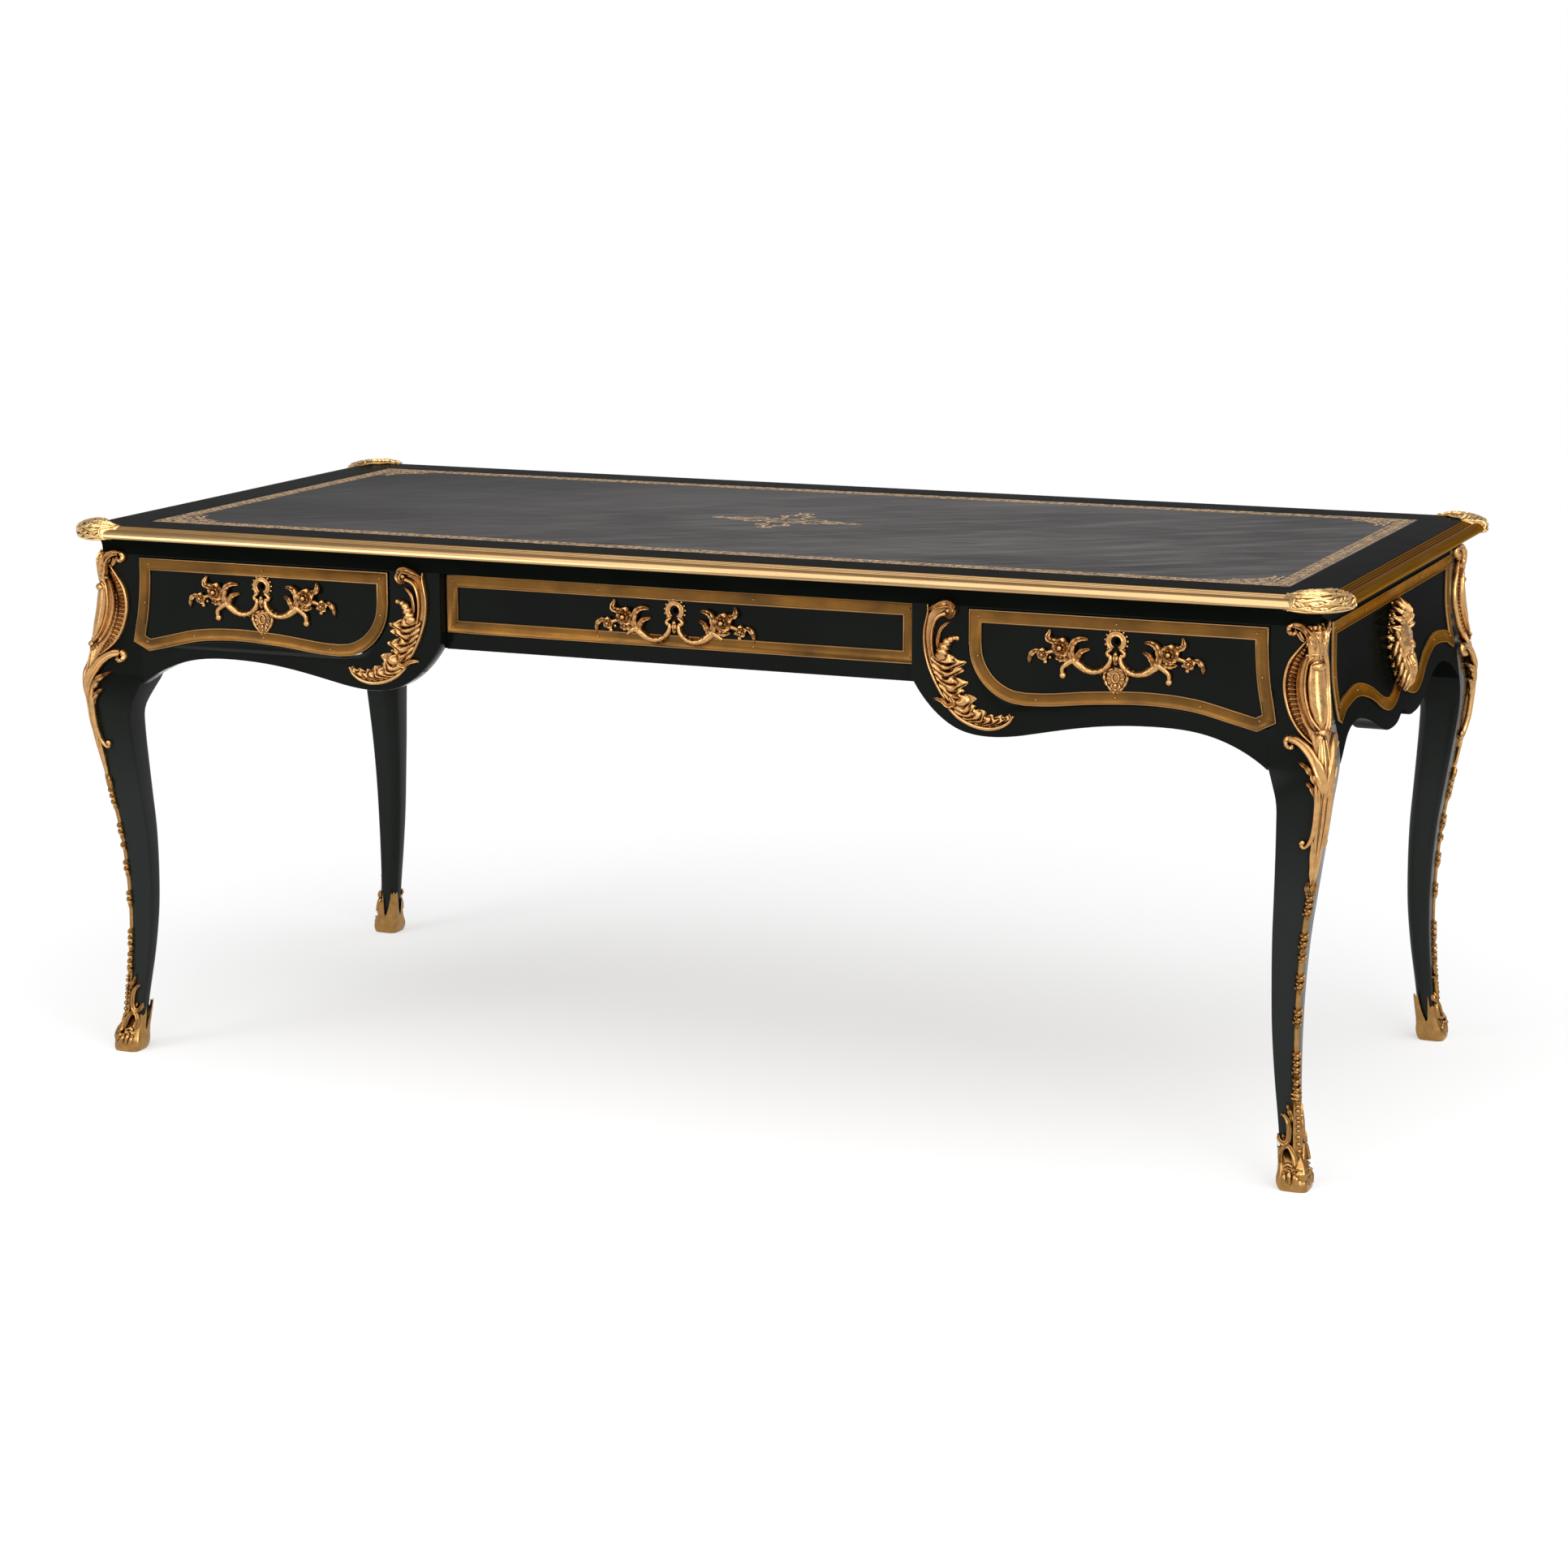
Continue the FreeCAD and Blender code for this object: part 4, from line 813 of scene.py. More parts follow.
class BUREAU_OT_boards(bpy.types.Operator):
    """Finishes the ebonised boards of the carcass, the cove under the top and the two ends"""
    bl_idname = "bureau.boards"
    bl_label = "Lacquered boards"

    def execute(self, context):
        sizes = context.scene.bureau_sizes
        paint("ebonised_wood", *LACQUERED)
        paint("ebonised_ends", "top_surround")
        for hand in ("right", "left"):
            bm = eased_copy(f"front_apron_{hand}", sizes.board_ease / MM, on_apron_foot)
            put(bm, f"ebonised_apron_{hand}", "ebonised_wood", [f"front_apron_{hand}"], sharp=EASED_SHARP)
        put(cove_moulding(), "cove_moulding", "ebonised_wood", ["cornice_moulding"], kind="ebonised_ends")
        panel = end_panel(sizes)
        for hand, side in (("right", 1), ("left", -1)):
            put(scaled_copy(panel, side, 1), f"ebonised_end_{hand}", "ebonised_wood", [f"side_apron_{hand}"],
                kind="ebonised_ends")
        return {"FINISHED"}


# Brass round the top: distance out from the surround's edge, and height above the moulding's base
EDGE_PROFILE = [(0.0, 0.0), (23.0, 0.0), (26.8, 0.2), (28.4, 0.8), (28.9, 2.2), (28.5, 4.2), (27.2, 6.8),
                (25.0, 9.2), (22.2, 11.0), (19.2, 12.0), (16.4, 12.3), (14.2, 12.1), (12.9, 11.6),
                (12.4, 11.5), (12.0, 12.2), (11.1, 12.9), (9.8, 13.2), (8.8, 13.0), (8.4, 12.8), (8.0, 13.5),
                (7.1, 14.1), (5.8, 14.4), (4.8, 14.2), (4.4, 14.0), (4.0, 14.7), (3.1, 15.3), (1.8, 15.6),
                (0.6, 15.6), (0.0, 15.4)]
EDGE_WIDTH = 29.0
CLASP_OVERLAP = 28.0


class BUREAU_OT_edge_mouldings(bpy.types.Operator):
    """Draws the reeded brass mouldings round the top"""
    bl_idname = "bureau.edge_mouldings"
    bl_label = "Edge mouldings"

    def execute(self, context):
        for name, reach, arm, axis in (("long", EDGE_Y, ARM_X, 0), ("short", EDGE_X, ARM_Y, 1)):
            bm = bmesh.new()
            count = len(EDGE_PROFILE)
            half = arm + CLASP_OVERLAP

            def shape(s, t):
                out, up = EDGE_PROFILE[round(t * count) % count]
                place = Vector((half * (2 * s - 1), reach - EDGE_WIDTH + out, MOULDING_BASE + up))
                return place if axis == 0 else Vector((place.y, place.x, place.z))

            skin(bm, 1, count, shape)
            add_mirrored(bm, *((1, -1) if axis == 0 else (-1, 1)))
            put(bm, f"edge_moulding_{name}", "moulding_brass", [f"edge_mouldings_{name}"],
                kind=f"{name}_moulding", sharp=REED_SHARP)
        return {"FINISHED"}


# Corner clasps: the line their face follows from the lower rim over the edge, as distance out from the edge
# of the top and height above the moulding's base
CLASP_LINE = through([(-12.0, -4.4), (-5.0, -4.8), (0.2, -3.8), (2.4, -0.8), (3.0, 2.8), (2.4, 5.4),
                      (2.8, 7.2), (2.8, 9.8), (1.0, 12.8), (-3.0, 15.2), (-8.5, 17.2), (-15.0, 18.8),
                      (-22.0, 19.8), (-30.0, 19.8), (-38.0, 18.0), (-46.0, 15.8)], 3)
# How far an arm reaches past its end, from the lower rim over the edge to the top
CLASP_ENDS = [(0.0, 8.0), (8.0, 7.0), (16.0, 0.0), (24.0, -6.0), (34.0, -7.0), (42.0, -1.0), (50.0, 6.0),
              (60.0, 9.0), (80.0, 9.0)]
CLASP_SINK = 3.5
CLASP_RADIUS = 65.0
CLASP_ARM = 4.0
CLASP_HALF = CLASP_RADIUS * pi / 4 + CLASP_ARM
CLASP_STATIONS = 96
CLASP_ROWS = 26
CLASP_LEAST, CLASP_MOST = 64.0, 76.0
RIDGES = 9
RIDGE_START, RIDGE_STEP = 18.5, 5.2
RIDGE_WAVE = 2.0
RIDGE_BENDS, RIDGE_SHIFT = 5.6, 1.9
RIDGE_REACH, RIDGE_SHORTER = 0.95, 0.02
VEINS = 9
VEIN_LEAN = 0.09
CLASP_DEPTH = 12.0
RIM_REACH = 0.97
SEAM_OVER = 15.5


def clasp_place(along, out, up):
    """A point beside the rounded corner of the top; along runs from the front arm to the end's."""
    quarter = CLASP_RADIUS * pi / 4
    turn = min(max(along / quarter, -1), 1) * pi / 4 + pi / 4
    beyond = max(abs(along) - quarter, 0)
    way = Vector((sin(turn), cos(turn)))
    centre = Vector((EDGE_X - CLASP_RADIUS, EDGE_Y - CLASP_RADIUS))
    seat = centre + way * (CLASP_RADIUS + out)
    if along < 0:
        seat.x -= beyond
    else:
        seat.y -= beyond
    return Vector((seat.x, -seat.y, MOULDING_BASE + up))


def on_clasp(along, over, out):
    """A point on the clasp's face; over runs from its lower rim to its edge on the top."""
    left = max(over, JOIN)
    for here, there in zip(CLASP_LINE, CLASP_LINE[1:]):
        step = (there - here).length
        if left <= step:
            break
        left -= step
    way = (there - here) / step
    sink = CLASP_SINK * min(abs(along) / CLASP_HALF, 1.0) ** 4
    place = here + way * left + Vector((way.y, -way.x)) * (out - sink)
    return clasp_place(along, place.x, place.y)


def clasp_along(share, over):
    """How far along a clasp something lies, as a share of its arm at that place."""
    return share * (CLASP_HALF + level(CLASP_ENDS, over))


def corner_clasp():
    """An acanthus clasp bent over the top's corner: smooth lower rim, wavy veined ridges, scalloped arms."""
    base = bmesh.new()

    def shape(s, t):
        share = 2 * s - 1
        row = round(t * (CLASP_ROWS + 2)) % (CLASP_ROWS + 2)
        most = CLASP_LEAST + (CLASP_MOST - CLASP_LEAST) * cos(pi / 2 * share)
        over = most * min(row, CLASP_ROWS) / CLASP_ROWS
        along = clasp_along(share, over)
        return Vector((along, 0, -CLASP_DEPTH)) if row > CLASP_ROWS else Vector((along, over, 0))

    skin(base, CLASP_STATIONS, CLASP_ROWS + 2, shape)
    for ridge in range(RIDGES):
        def place(share, beside, out):
            wave = RIDGE_WAVE * sin(RIDGE_BENDS * share + RIDGE_SHIFT * ridge)
            over = RIDGE_START + RIDGE_STEP * (ridge + beside) + wave
            return clasp_along(share, over), over, out

        reach = RIDGE_REACH - RIDGE_SHORTER * ridge
        line = [place(reach * (step / 6 - 1), 0, 0.3) for step in range(13)]
        ribbon(base, line, [0.6, 2.0, 1.5, 2.2, 1.5, 2.0, 0.6], [1.0, 2.6, 2.2, 2.8, 2.2, 2.6, 1.0], steps=4)
        for vein in range(VEINS):
            share = reach * (2 * (vein + 0.5 + 0.3 * sin(2.7 * vein + ridge)) / VEINS - 1)
            lean = VEIN_LEAN if share > 0 else -VEIN_LEAN
            line = [place(share, 0.05, 0.6), place(share + lean, 0.5, 0.6),
                    place(share + 2.2 * lean, 0.95, 0.4)]
            ribbon(base, line, [1.5, 1.9, 0.5], [2.6, 2.6, 1.2], steps=4)
    for side in (1, -1):
        rim = [(clasp_along(RIM_REACH, over), over, 0.0) for over in range(14, 64, 5)]
        ribbon(base, flipped(rim, side), [1.2, 1.5, 1.5, 1.2], [1.6, 2.0, 2.0, 1.6], steps=3)
        seam = [(clasp_along(share / 10, SEAM_OVER), SEAM_OVER) for share in range(0, 11, 2)]
        ribbon(base, flipped(seam, side), [1.0, 1.2, 1.2, 1.0], [1.4, 1.6, 1.6, 1.4], steps=3)
    lay(base, on_clasp)
    return base


class BUREAU_OT_clasps(bpy.types.Operator):
    """Models the chased acanthus clasps on the top's corners"""
    bl_idname = "bureau.clasps"
    bl_label = "Corner clasps"

    def execute(self, context):
        # The clasps take the paler gilding, painted light for the corners of the top
        put_at_corners(corner_clasp(), "corner_clasp", "gilt_bronze", "top_corner_mount",
                       kind="gilt_painted_lit_finish", sharp=CHASED_SHARP)
        return {"FINISHED"}


# Bandings

BAND_WIDTH = 17.5
BAND_FLAT = 1.6
BAND_LIFT = 0.15
MITRE_ANGLE = radians(20)
MITRE_ROOM = 24.0
MITRE_LEAST = 0.35


def band_section(bead_height):
    """Distance in from the outer edge, and height: a flat strip with a bead along each edge."""
    top = BAND_FLAT + bead_height
    edge = [(0.0, 0.0), (0.0, top - 0.8), (0.4, top - 0.2), (1.0, top), (1.6, top - 0.2), (2.0, top - 0.8),
            (2.3, BAND_FLAT)]
    return edge + [(BAND_WIDTH - inset, height) for inset, height in reversed(edge)]


def outline(runs, steps=8):
    """A closed outline from runs of points; points too near a sharp corner for its mitre are left out."""
    lines = [through(run, 1 if len(run) == 2 else steps) for run in runs]
    points = []
    for before, line, after in zip([lines[-1], *lines], lines, [*lines[1:], lines[0]]):
        corners = []
        if (before[-1] - before[-2]).angle(line[1] - line[0]) > MITRE_ANGLE:
            corners.append(line[0])
        if (line[-1] - line[-2]).angle(after[1] - after[0]) > MITRE_ANGLE:
            corners.append(line[-1])
        points.append(line[0])
        for point in line[1:-1]:
            if all((point - corner).length > MITRE_ROOM for corner in corners):
                points.append(point)
    return points


def moulded_loop(bm, points, section):
    """A section carried round a closed outline, mitred at its corners; the outline runs clockwise."""
    count, around = len(points), len(section)

    def shape(s, t):
        index = round(s * count) % count
        here = points[index]
        back = (here - points[index - 1]).normalized()
        ahead = (points[(index + 1) % count] - here).normalized()
        inward = Vector((back.y + ahead.y, -back.x - ahead.x)).normalized()
        stretch = 1 / max(inward.dot(Vector((ahead.y, -ahead.x))), MITRE_LEAST)
        inset, up = section[round(t * around) % around]
        flat = here + inward * inset * stretch
        return Vector((flat.x, flat.y, up + BAND_LIFT))

    skin(bm, count, around, shape)


ROUND_RADIUS = 78.0
ROUND_FOOT = 124.0


def side_drawer_outline():
    """The right drawer's frame: straight head, flared side with a notched tip, waved foot, round corner."""
    left, top = DRAWER_LOW.x, DRAWER_HIGH.z
    right = DRAWER_HIGH.x
    corner = Vector((left + ROUND_RADIUS, HEAD - ROUND_FOOT + ROUND_RADIUS))
    arc = [corner + Vector((cos(radians(angle)), sin(radians(angle)))) * ROUND_RADIUS
           for angle in range(270, 179, -15)]
    return outline([
        [(left, top), (right - 1, top)],
        [(right - 1, top), (right - 0.5, 708), (right + 1.5, 678), (right + 5, 651), (right + 10, 626),
         (right + 12.5, 611)],
        [(right + 12.5, 611), (right - 13, 598)],
        [(right - 13, 598), (781, 606), (730, 617.5), (670, 621.5), (600, 618), (540, 611.5), tuple(arc[0])],
        [tuple(point) for point in arc],
        [tuple(arc[-1]), (left, top)],
    ])


def pins(bm, places, radius):
    """Heads of the pins that hold a banding."""
    for across, up in places:
        bead(bm, across, up, radius, BAND_FLAT)


SIDE_PINS = [(440, 724), (627, 724), (812, 724), (440, 672), (520, 619), (627, 629), (740, 625), (818, 612),
             (820, 668)]


def side_drawer_banding(sizes):
    """The waved frame of the right drawer."""
    bm = bmesh.new()
    moulded_loop(bm, side_drawer_outline(), band_section(sizes.banding_bead / MM))
    pins(bm, SIDE_PINS, sizes.pin_radius / MM)
    lay(bm, on_front)
    return bm


def centre_drawer_banding(sizes):
    """The plain frame of the centre drawer."""
    bm = bmesh.new()
    low, high = CENTRE_LOW, CENTRE_HIGH
    corners = [(low.x, low.z), (low.x, high.z), (high.x, high.z), (high.x, low.z)]
    moulded_loop(bm, outline([[here, there] for here, there in zip(corners, corners[1:] + corners[:1])]),
                 band_section(sizes.banding_bead / MM))
    inset = BAND_WIDTH / 2
    places = [(x * (high.x - inset) * share, z) for z in (low.z + inset, high.z - inset) for x in (-1, 1)
              for share in (1.0, 0.34)]
    pins(bm, places, sizes.pin_radius / MM)
    lay(bm, on_centre)
    return bm


END_MARGIN = 12.0
END_TIP = 606.0
END_PINS = [(326, 724), (160, 724), (326, 660), (222, 627)]
LONG_EDGE, LONG_EDGE_CUTS = 40.0, 8


def end_outline():
    """The frame on an end: straight head and sides, notched tips, a double wave and a cusp in the middle."""
    top = DRAWER_HIGH.z
    side = POST_Y - END_MARGIN
    wave = [(side - 10, 601), (side - 26, 607), (285, 614), (222, 618.5), (160, 605), (110, 584), (73, 577),
            (35, 583), (0, 597)]
    return outline([
        [(-side, top), (side, top)],
        [(side, top), (side, END_TIP)],
        [(side, END_TIP), wave[0]],
        wave,
        [(-across, up) for across, up in reversed(wave)],
        [(-wave[0][0], wave[0][1]), (-side, END_TIP)],
        [(-side, END_TIP), (-side, top)],
    ])


def end_banding(sizes):
    """The frame of the right end, bent to its swell."""
    bm = bmesh.new()
    moulded_loop(bm, end_outline(), band_section(sizes.banding_bead / MM))
    pins(bm, [(x * across, up) for x in (-1, 1) for across, up in END_PINS], sizes.pin_radius / MM)
    long_edges = [edge for edge in bm.edges if edge.calc_length() > LONG_EDGE]
    bmesh.ops.subdivide_edges(bm, edges=long_edges, cuts=LONG_EDGE_CUTS)
    lay(bm, on_end)
    return bm


class BUREAU_OT_bandings(bpy.types.Operator):
    """Makes the beaded brass bandings of the drawers, the back and the ends"""
    bl_idname = "bureau.bandings"
    bl_label = "Bandings"

    def execute(self, context):
        sizes = context.scene.bureau_sizes
        side = side_drawer_banding(sizes)
        centre = centre_drawer_banding(sizes)
        for hand, x in (("right", 1), ("left", -1)):
            put(scaled_copy(side, x, 1), f"{hand}_brass_banding", "flat_brass", [f"{hand}_drawer_banding"],
                f"{hand}_drawer", sharp=CAST_SHARP)
        put(centre.copy(), "centre_brass_banding", "flat_brass", ["centre_drawer_banding"], "centre_drawer",
            sharp=CAST_SHARP)
        add_mirrored(side, x=-1)
        back = scaled_copy(joined(side, centre), 1, -1)
        put(back, "back_brass_bandings", "flat_brass", ["back_bandings"], sharp=CAST_SHARP)
        ends = end_banding(sizes)
        add_mirrored(ends, x=-1)
        put(ends, "end_brass_bandings", "flat_brass", ["side_bandings"], sharp=CAST_SHARP)
        return {"FINISHED"}


# Pulls

def cast_pull(sizes, pendant):
    """A scrolled pull: beaded keyhole ring, two leafy C-scroll arms, roses, blossoms and buds."""
    bm = bmesh.new()
    arm = sizes.pull_arm / MM
    ring = [(10.2 * cos(radians(angle)), 10.2 * sin(radians(angle))) for angle in range(-62, 243, 19)]
    ribbon(bm, ring, [4.0, 4.0], [5.0, 5.0], FLUTED, steps=2)
    for angle in range(-44, 225, 24):
        bead(bm, 15.0 * cos(radians(angle)), 15.0 * sin(radians(angle)), 1.9, 1.4)
    for side in (1, -1):
        neck = [(5.6, -9.6, 1), (9.4, -12.4, 1), (11.6, -15.4, 1), (9.6, -18.4, 1.5), (6.8, -17.0, 2)]
        ribbon(bm, flipped(neck, side), [2.6, 3.2, 3.4, 3.4, 2.6], [5, 5.5, 6, 6, 5])
        scroll = [(7.4, -18.0), (6.6, -23.0), (9.0, -29.5), (16, -36.5), (26.5, -40.5), (38.5, -39.0),
                  (48, -33.5), (55.5, -27.5), (62, -19)]
        ribbon(bm, flipped([(*point, 1.0) for point in scroll], side),
               [arm, arm * 1.1, arm * 1.2, arm * 1.2, arm * 1.35, arm * 1.7, arm * 1.8, arm * 1.2],
               [6.5, 7.5, 8.5, 9, 9.5, 9, 8, 6], steps=6)
        for across, up, size in ((14, -35.5, 1.0), (21, -39.5, 1.1), (29, -40.5, 1.2), (37, -39.5, 1.3),
                                 (45, -35.5, 1.4)):
            vein = [(across - 2.5, up - 4.2 * size, 3), (across, up, 6.8), (across + 4.5, up + 4.0 * size, 3)]
            ribbon(bm, flipped(vein, side), [0.8, 1.9 * size, 0.8], [2.5, 4.4, 2.5])
        ribbon(bm, flipped([(57, -26, 2), (59, -13, 4), (55, -3, 4), (47, 1.4, 3), (38, 1.0, 1)], side),
               [5.2, 5.8, 5.0, 4.0, 2.0], [7, 7.5, 7, 6, 4], VEINED, lobes=5, bite=0.15)
        ribbon(bm, flipped([(53, -30, 2), (49.5, -21, 4), (45, -14.5, 4), (35.5, -11.5, 1)], side),
               [5.0, 4.8, 4.2, 2.0], [7, 7.5, 6.5, 4], VEINED, lobes=4, bite=0.15)
        rose(bm, side * 72.5, -11, 13.5, 6, 3.0)
        ribbon(bm, flipped([(78, -4, 2), (86, -3, 4), (91, 1.0, 4), (88.5, 10, 1)], side), [5, 4.8, 4.6, 2.0],
               [7, 7, 6.5, 4], VEINED, lobes=3, bite=0.15)
        ribbon(bm, flipped([(80, -16, 2), (88, -18, 2), (96, -21, 2)], side), [4, 3.2, 2.8], [6, 5, 5])
        rose(bm, side * 98, -22, 8.6, 5, 2.0)
        bead(bm, side * 95, -31.5, 3.2, 2.4)
        bead(bm, side * 89, -25.5, 2.6, 2.0)
        frond = [(102, -17, 1), (110, -19, 2), (115.5, -26, 2), (116.5, -38, 0.5)]
        leaf(bm, flipped(frond, side), 4.6, 5.0, 3)
        leaf(bm, flipped([(60, -22, 2), (70, -26, 4), (84, -25, 1)], side), 6.0, 6.0, 4)
        bud = [(57, -27, 2), (65, -32, 3), (71, -38, 3), (71.5, -46, 2)]
        if not pendant:
            bud = [(57, -27, 2), (64, -30.5, 3), (70, -35, 1)]
        ribbon(bm, flipped(bud, side), [5, 4.4, 3.6, 3.2], [7, 6.5, 5.5, 5])
        if pendant:
            bead(bm, side * 71, -48, 5.0, 2.4)
    leaf(bm, [(0, -13, 1), (0, -22, 3), (0, -33, 1)], 4.6, 5.0, 3)
    bead(bm, 0, -16, 2.8, 5.0)
    if pendant:
        shield(bm)
    return bm


def shield(bm):
    """The pendant under the keyhole: a scalloped shell with an oval eye and a pointed foot."""
    ribbon(bm, upright(-34, -42, -52, -60, -69), [7, 13, 12.5, 7.5, 0.8], [2, 2.6, 2.6, 2.4, 1.4], BED)
    for side in (1, -1):
        edge = [(2, -35.5), (9, -37), (14.5, -40.5), (15.6, -45.5), (14.0, -51.5), (11.5, -56.5),
                (7.5, -61.5), (3.5, -65.5), (0.5, -69)]
        ribbon(bm, flipped(edge, side), [2.0, 2.8, 3.0, 3.0, 3.0, 2.8, 2.4, 1.8, 1.0],
               [4, 5, 5.4, 5.4, 5.2, 5, 4.4, 3.6, 2.4], steps=6, lobes=6, bite=0.2)
        for fan, (across, up) in enumerate(((11, -41.5), (11.5, -48), (9, -54.5), (5.5, -59.5))):
            ray = [(4.6, -46 - 2.6 * fan, 1.5), (across, up, 1.5)]
            ribbon(bm, flipped(ray, side), [1.0, 2.2], [2.2, 3.0])
    eye = [(4.6 * cos(tau * step / 12), -46.5 + 6.2 * sin(tau * step / 12), 1.5) for step in range(13)]
    ribbon(bm, eye, [1.7, 1.7], [4.0, 4.0], steps=2)
    bead(bm, 0, -56.5, 2.8, 3.4)
    bead(bm, 0, -62.5, 2.0, 2.8)


class BUREAU_OT_pulls(bpy.types.Operator):
    """Models the cast pulls of the drawers and of the back"""
    bl_idname = "bureau.pulls"
    bl_label = "Pulls"

    def execute(self, context):
        sizes = context.scene.bureau_sizes
        back = bmesh.new()
        for hand, middle, place in (("right", DRAWER_MIDDLE, on_front), ("centre", 0.0, on_centre),
                                    ("left", -DRAWER_MIDDLE, on_front)):
            bm = cast_pull(sizes, hand != "centre")
            bmesh.ops.translate(bm, vec=Vector((middle, KEYHOLE, 0)), verts=bm.verts)
            lay(bm, place)
            joined(back, scaled_copy(bm, 1, -1))
            put(bm, f"{hand}_cast_pull", "gilt_bronze", [f"{hand}_drawer_pull"], f"{hand}_drawer",
                sharp=CAST_SHARP)
        put(back, "back_cast_pulls", "gilt_bronze", ["back_pulls"], sharp=CAST_SHARP)
        return {"FINISHED"}


# Scroll mounts on the pedestals' inner corners

def pedestal_scroll():
    """A trumpet-mouthed double scroll with a twisted tendril and a ruffled rocaille below."""
    bm = bmesh.new()
    channel = [(397, 733), (388, 729), (379, 720), (373.5, 707), (371.5, 692), (373, 675), (378, 658),
               (386, 640)]
    ribbon(bm, channel, [8, 8, 7.5, 6.5, 6, 6, 5.5, 5], [4, 4, 4, 4, 4, 4, 4, 3], CUPPED, steps=6)
    outer = [(371, 736), (371.5, 728), (369.5, 717), (367, 704), (366.5, 690), (368.5, 673), (373, 656),
             (380, 639), (389, 622), (400, 605)]
    ribbon(bm, outer, [1.6, 1.9, 2.2, 2.3, 2.4, 2.5, 2.6, 2.6, 2.4, 1.8],
           [6, 7, 7.5, 8, 8, 8, 8, 7.5, 6.5, 4], steps=6)
    inner = [(381, 664), (378, 677), (377, 690), (378, 704), (382, 716), (388.5, 722.5), (397, 725.5)]
    ribbon(bm, inner, [2.0, 2.4, 2.6, 2.8, 3.2, 3.8, 4.2], [7, 8.5, 9, 9.5, 9.5, 9.5, 9.5], steps=6)
    hood = [(373, 729.5), (381, 733), (390, 737), (398, 739), (404.5, 737), (407, 730.5)]
    ribbon(bm, hood, [2.2, 4.2, 5.8, 6.4, 5.8, 4.6], [6, 8, 10, 11, 11, 10.5], FLUTED, steps=6)
    ribbon(bm, [(404, 736, 1), (407.5, 729, 1.5), (404, 722.5, 1.5), (397, 723.5, 1)], [4.2, 4.8, 4.2, 2.8],
           [10, 11, 10.5, 8.5], FLUTED)
    bead(bm, 400.5, 729.5, 3.8, 7.0)
    ribbon(bm, [(387, 677, 1), (385.5, 688, 2), (388.5, 702, 2), (393.5, 709, 2), (401, 714, 1)],
           [2.6, 2.8, 2.6, 2.2, 0.8], [4, 4.5, 4, 3.5, 2], VEINED)
    tendril = [(389, 664, 2), (392, 673, 3), (395, 681, 3), (399.5, 688.5, 3), (406, 693, 2), (411, 693.5, 1)]
    ribbon(bm, tendril, [9.0, 9.6, 8.2, 6.4, 4.6, 3.4], [8, 10, 9.5, 8, 6.5, 5], steps=7, lobes=6, bite=0.22)
    bead(bm, 411.5, 693.5, 3.8, 2.4)
    rocaille(bm)
    curl = [(404, 616, 3), (409, 608, 4), (401, 604.5, 4), (394, 609.5, 4), (387, 611.5, 3), (380, 611.5, 1)]
    ribbon(bm, curl, [3.4, 4.0, 3.8, 3.6, 3.0, 1.6], [6, 7, 7, 6.5, 5, 3], VEINED)
    rim = [(396, 609), (404, 598), (416, 588), (433, 580), (452, 576.5), (468, 578.5), (482, 585.5),
           (490, 596)]
    ribbon(bm, rim, [2.2, 2.8, 3.2, 3.4, 3.4, 3.2, 2.8, 2.0], [5, 6.5, 7, 7, 7, 7, 6, 4.5], steps=6)
    return bm


# The rocaille's root along the scroll, and the tips and notches of its free edge
ROCAILLE_ROOT = [(375, 668), (379, 650), (385, 635), (392, 620), (401, 603), (417, 588), (434, 581),
                 (454, 578.5), (472, 582), (487, 590)]
ROCAILLE_EDGE = [(402, 672), (412, 666), (425, 662), (417, 656), (422, 651), (410, 643), (418, 640),
                 (428, 635), (419, 628), (423, 624), (417, 620), (430, 620), (440, 615), (434, 608),
                 (438, 605), (437, 601), (448, 601), (453, 597), (452, 593), (461, 596), (465, 592.5),
                 (473, 596.5), (477, 593.5), (484, 598), (487, 595), (491, 598)]
ROCAILLE_STATIONS = 240
ROCAILLE_ROWS = 20
ROCAILLE_FOLDS = 15.5
FOLD_SAG = 1.3
FOLD_HEIGHT = 9.0
FOLD_SEAT = 1.5
FOLD_CURL = 2.4
CURL_FROM = 0.72


def rocaille(bm):
    """A ruffled leaf: sagging folds run from the scroll to the tips of its free edge, with finer pleats."""
    roots, edge = through(ROCAILLE_ROOT, 12), through(ROCAILLE_EDGE, 6)

    def along(line, s):
        place = min(max(s, 0), 1) * (len(line) - 1)
        index = min(int(place), len(line) - 2)
        return line[index].lerp(line[index + 1], place - index)

    def shape(s, t):
        row = round(t * (ROCAILLE_ROWS + 2)) % (ROCAILLE_ROWS + 2)
        root, tip = along(roots, s), along(edge, s)
        if row >= ROCAILLE_ROWS:
            flat = tip if row == ROCAILLE_ROWS else root
            return Vector((flat.x, flat.y, -0.4))
        v = row / (ROCAILLE_ROWS - 1)
        size = 1 - 0.5 * s
        fold = ROCAILLE_FOLDS * (s + 0.02 * sin(9 * s)) - FOLD_SAG * sin(pi * v) ** 1.3 - 0.3 * v
        ridge = abs(sin(pi * fold)) ** 0.8
        pleat = abs(sin(3 * pi * fold + 2.0 * v))
        swell = sin(pi * (0.12 + 0.8 * v))
        curl = max(0, v - CURL_FROM) / (1 - CURL_FROM)
        height = FOLD_HEIGHT * swell * (0.15 + ridge * (0.7 + 0.12 * pleat))
        up = FOLD_SEAT + size * (height + FOLD_CURL * curl * ridge)
        flat = root.lerp(tip, v)
        return Vector((flat.x, flat.y, up))

    skin(bm, ROCAILLE_STATIONS, ROCAILLE_ROWS + 2, shape)


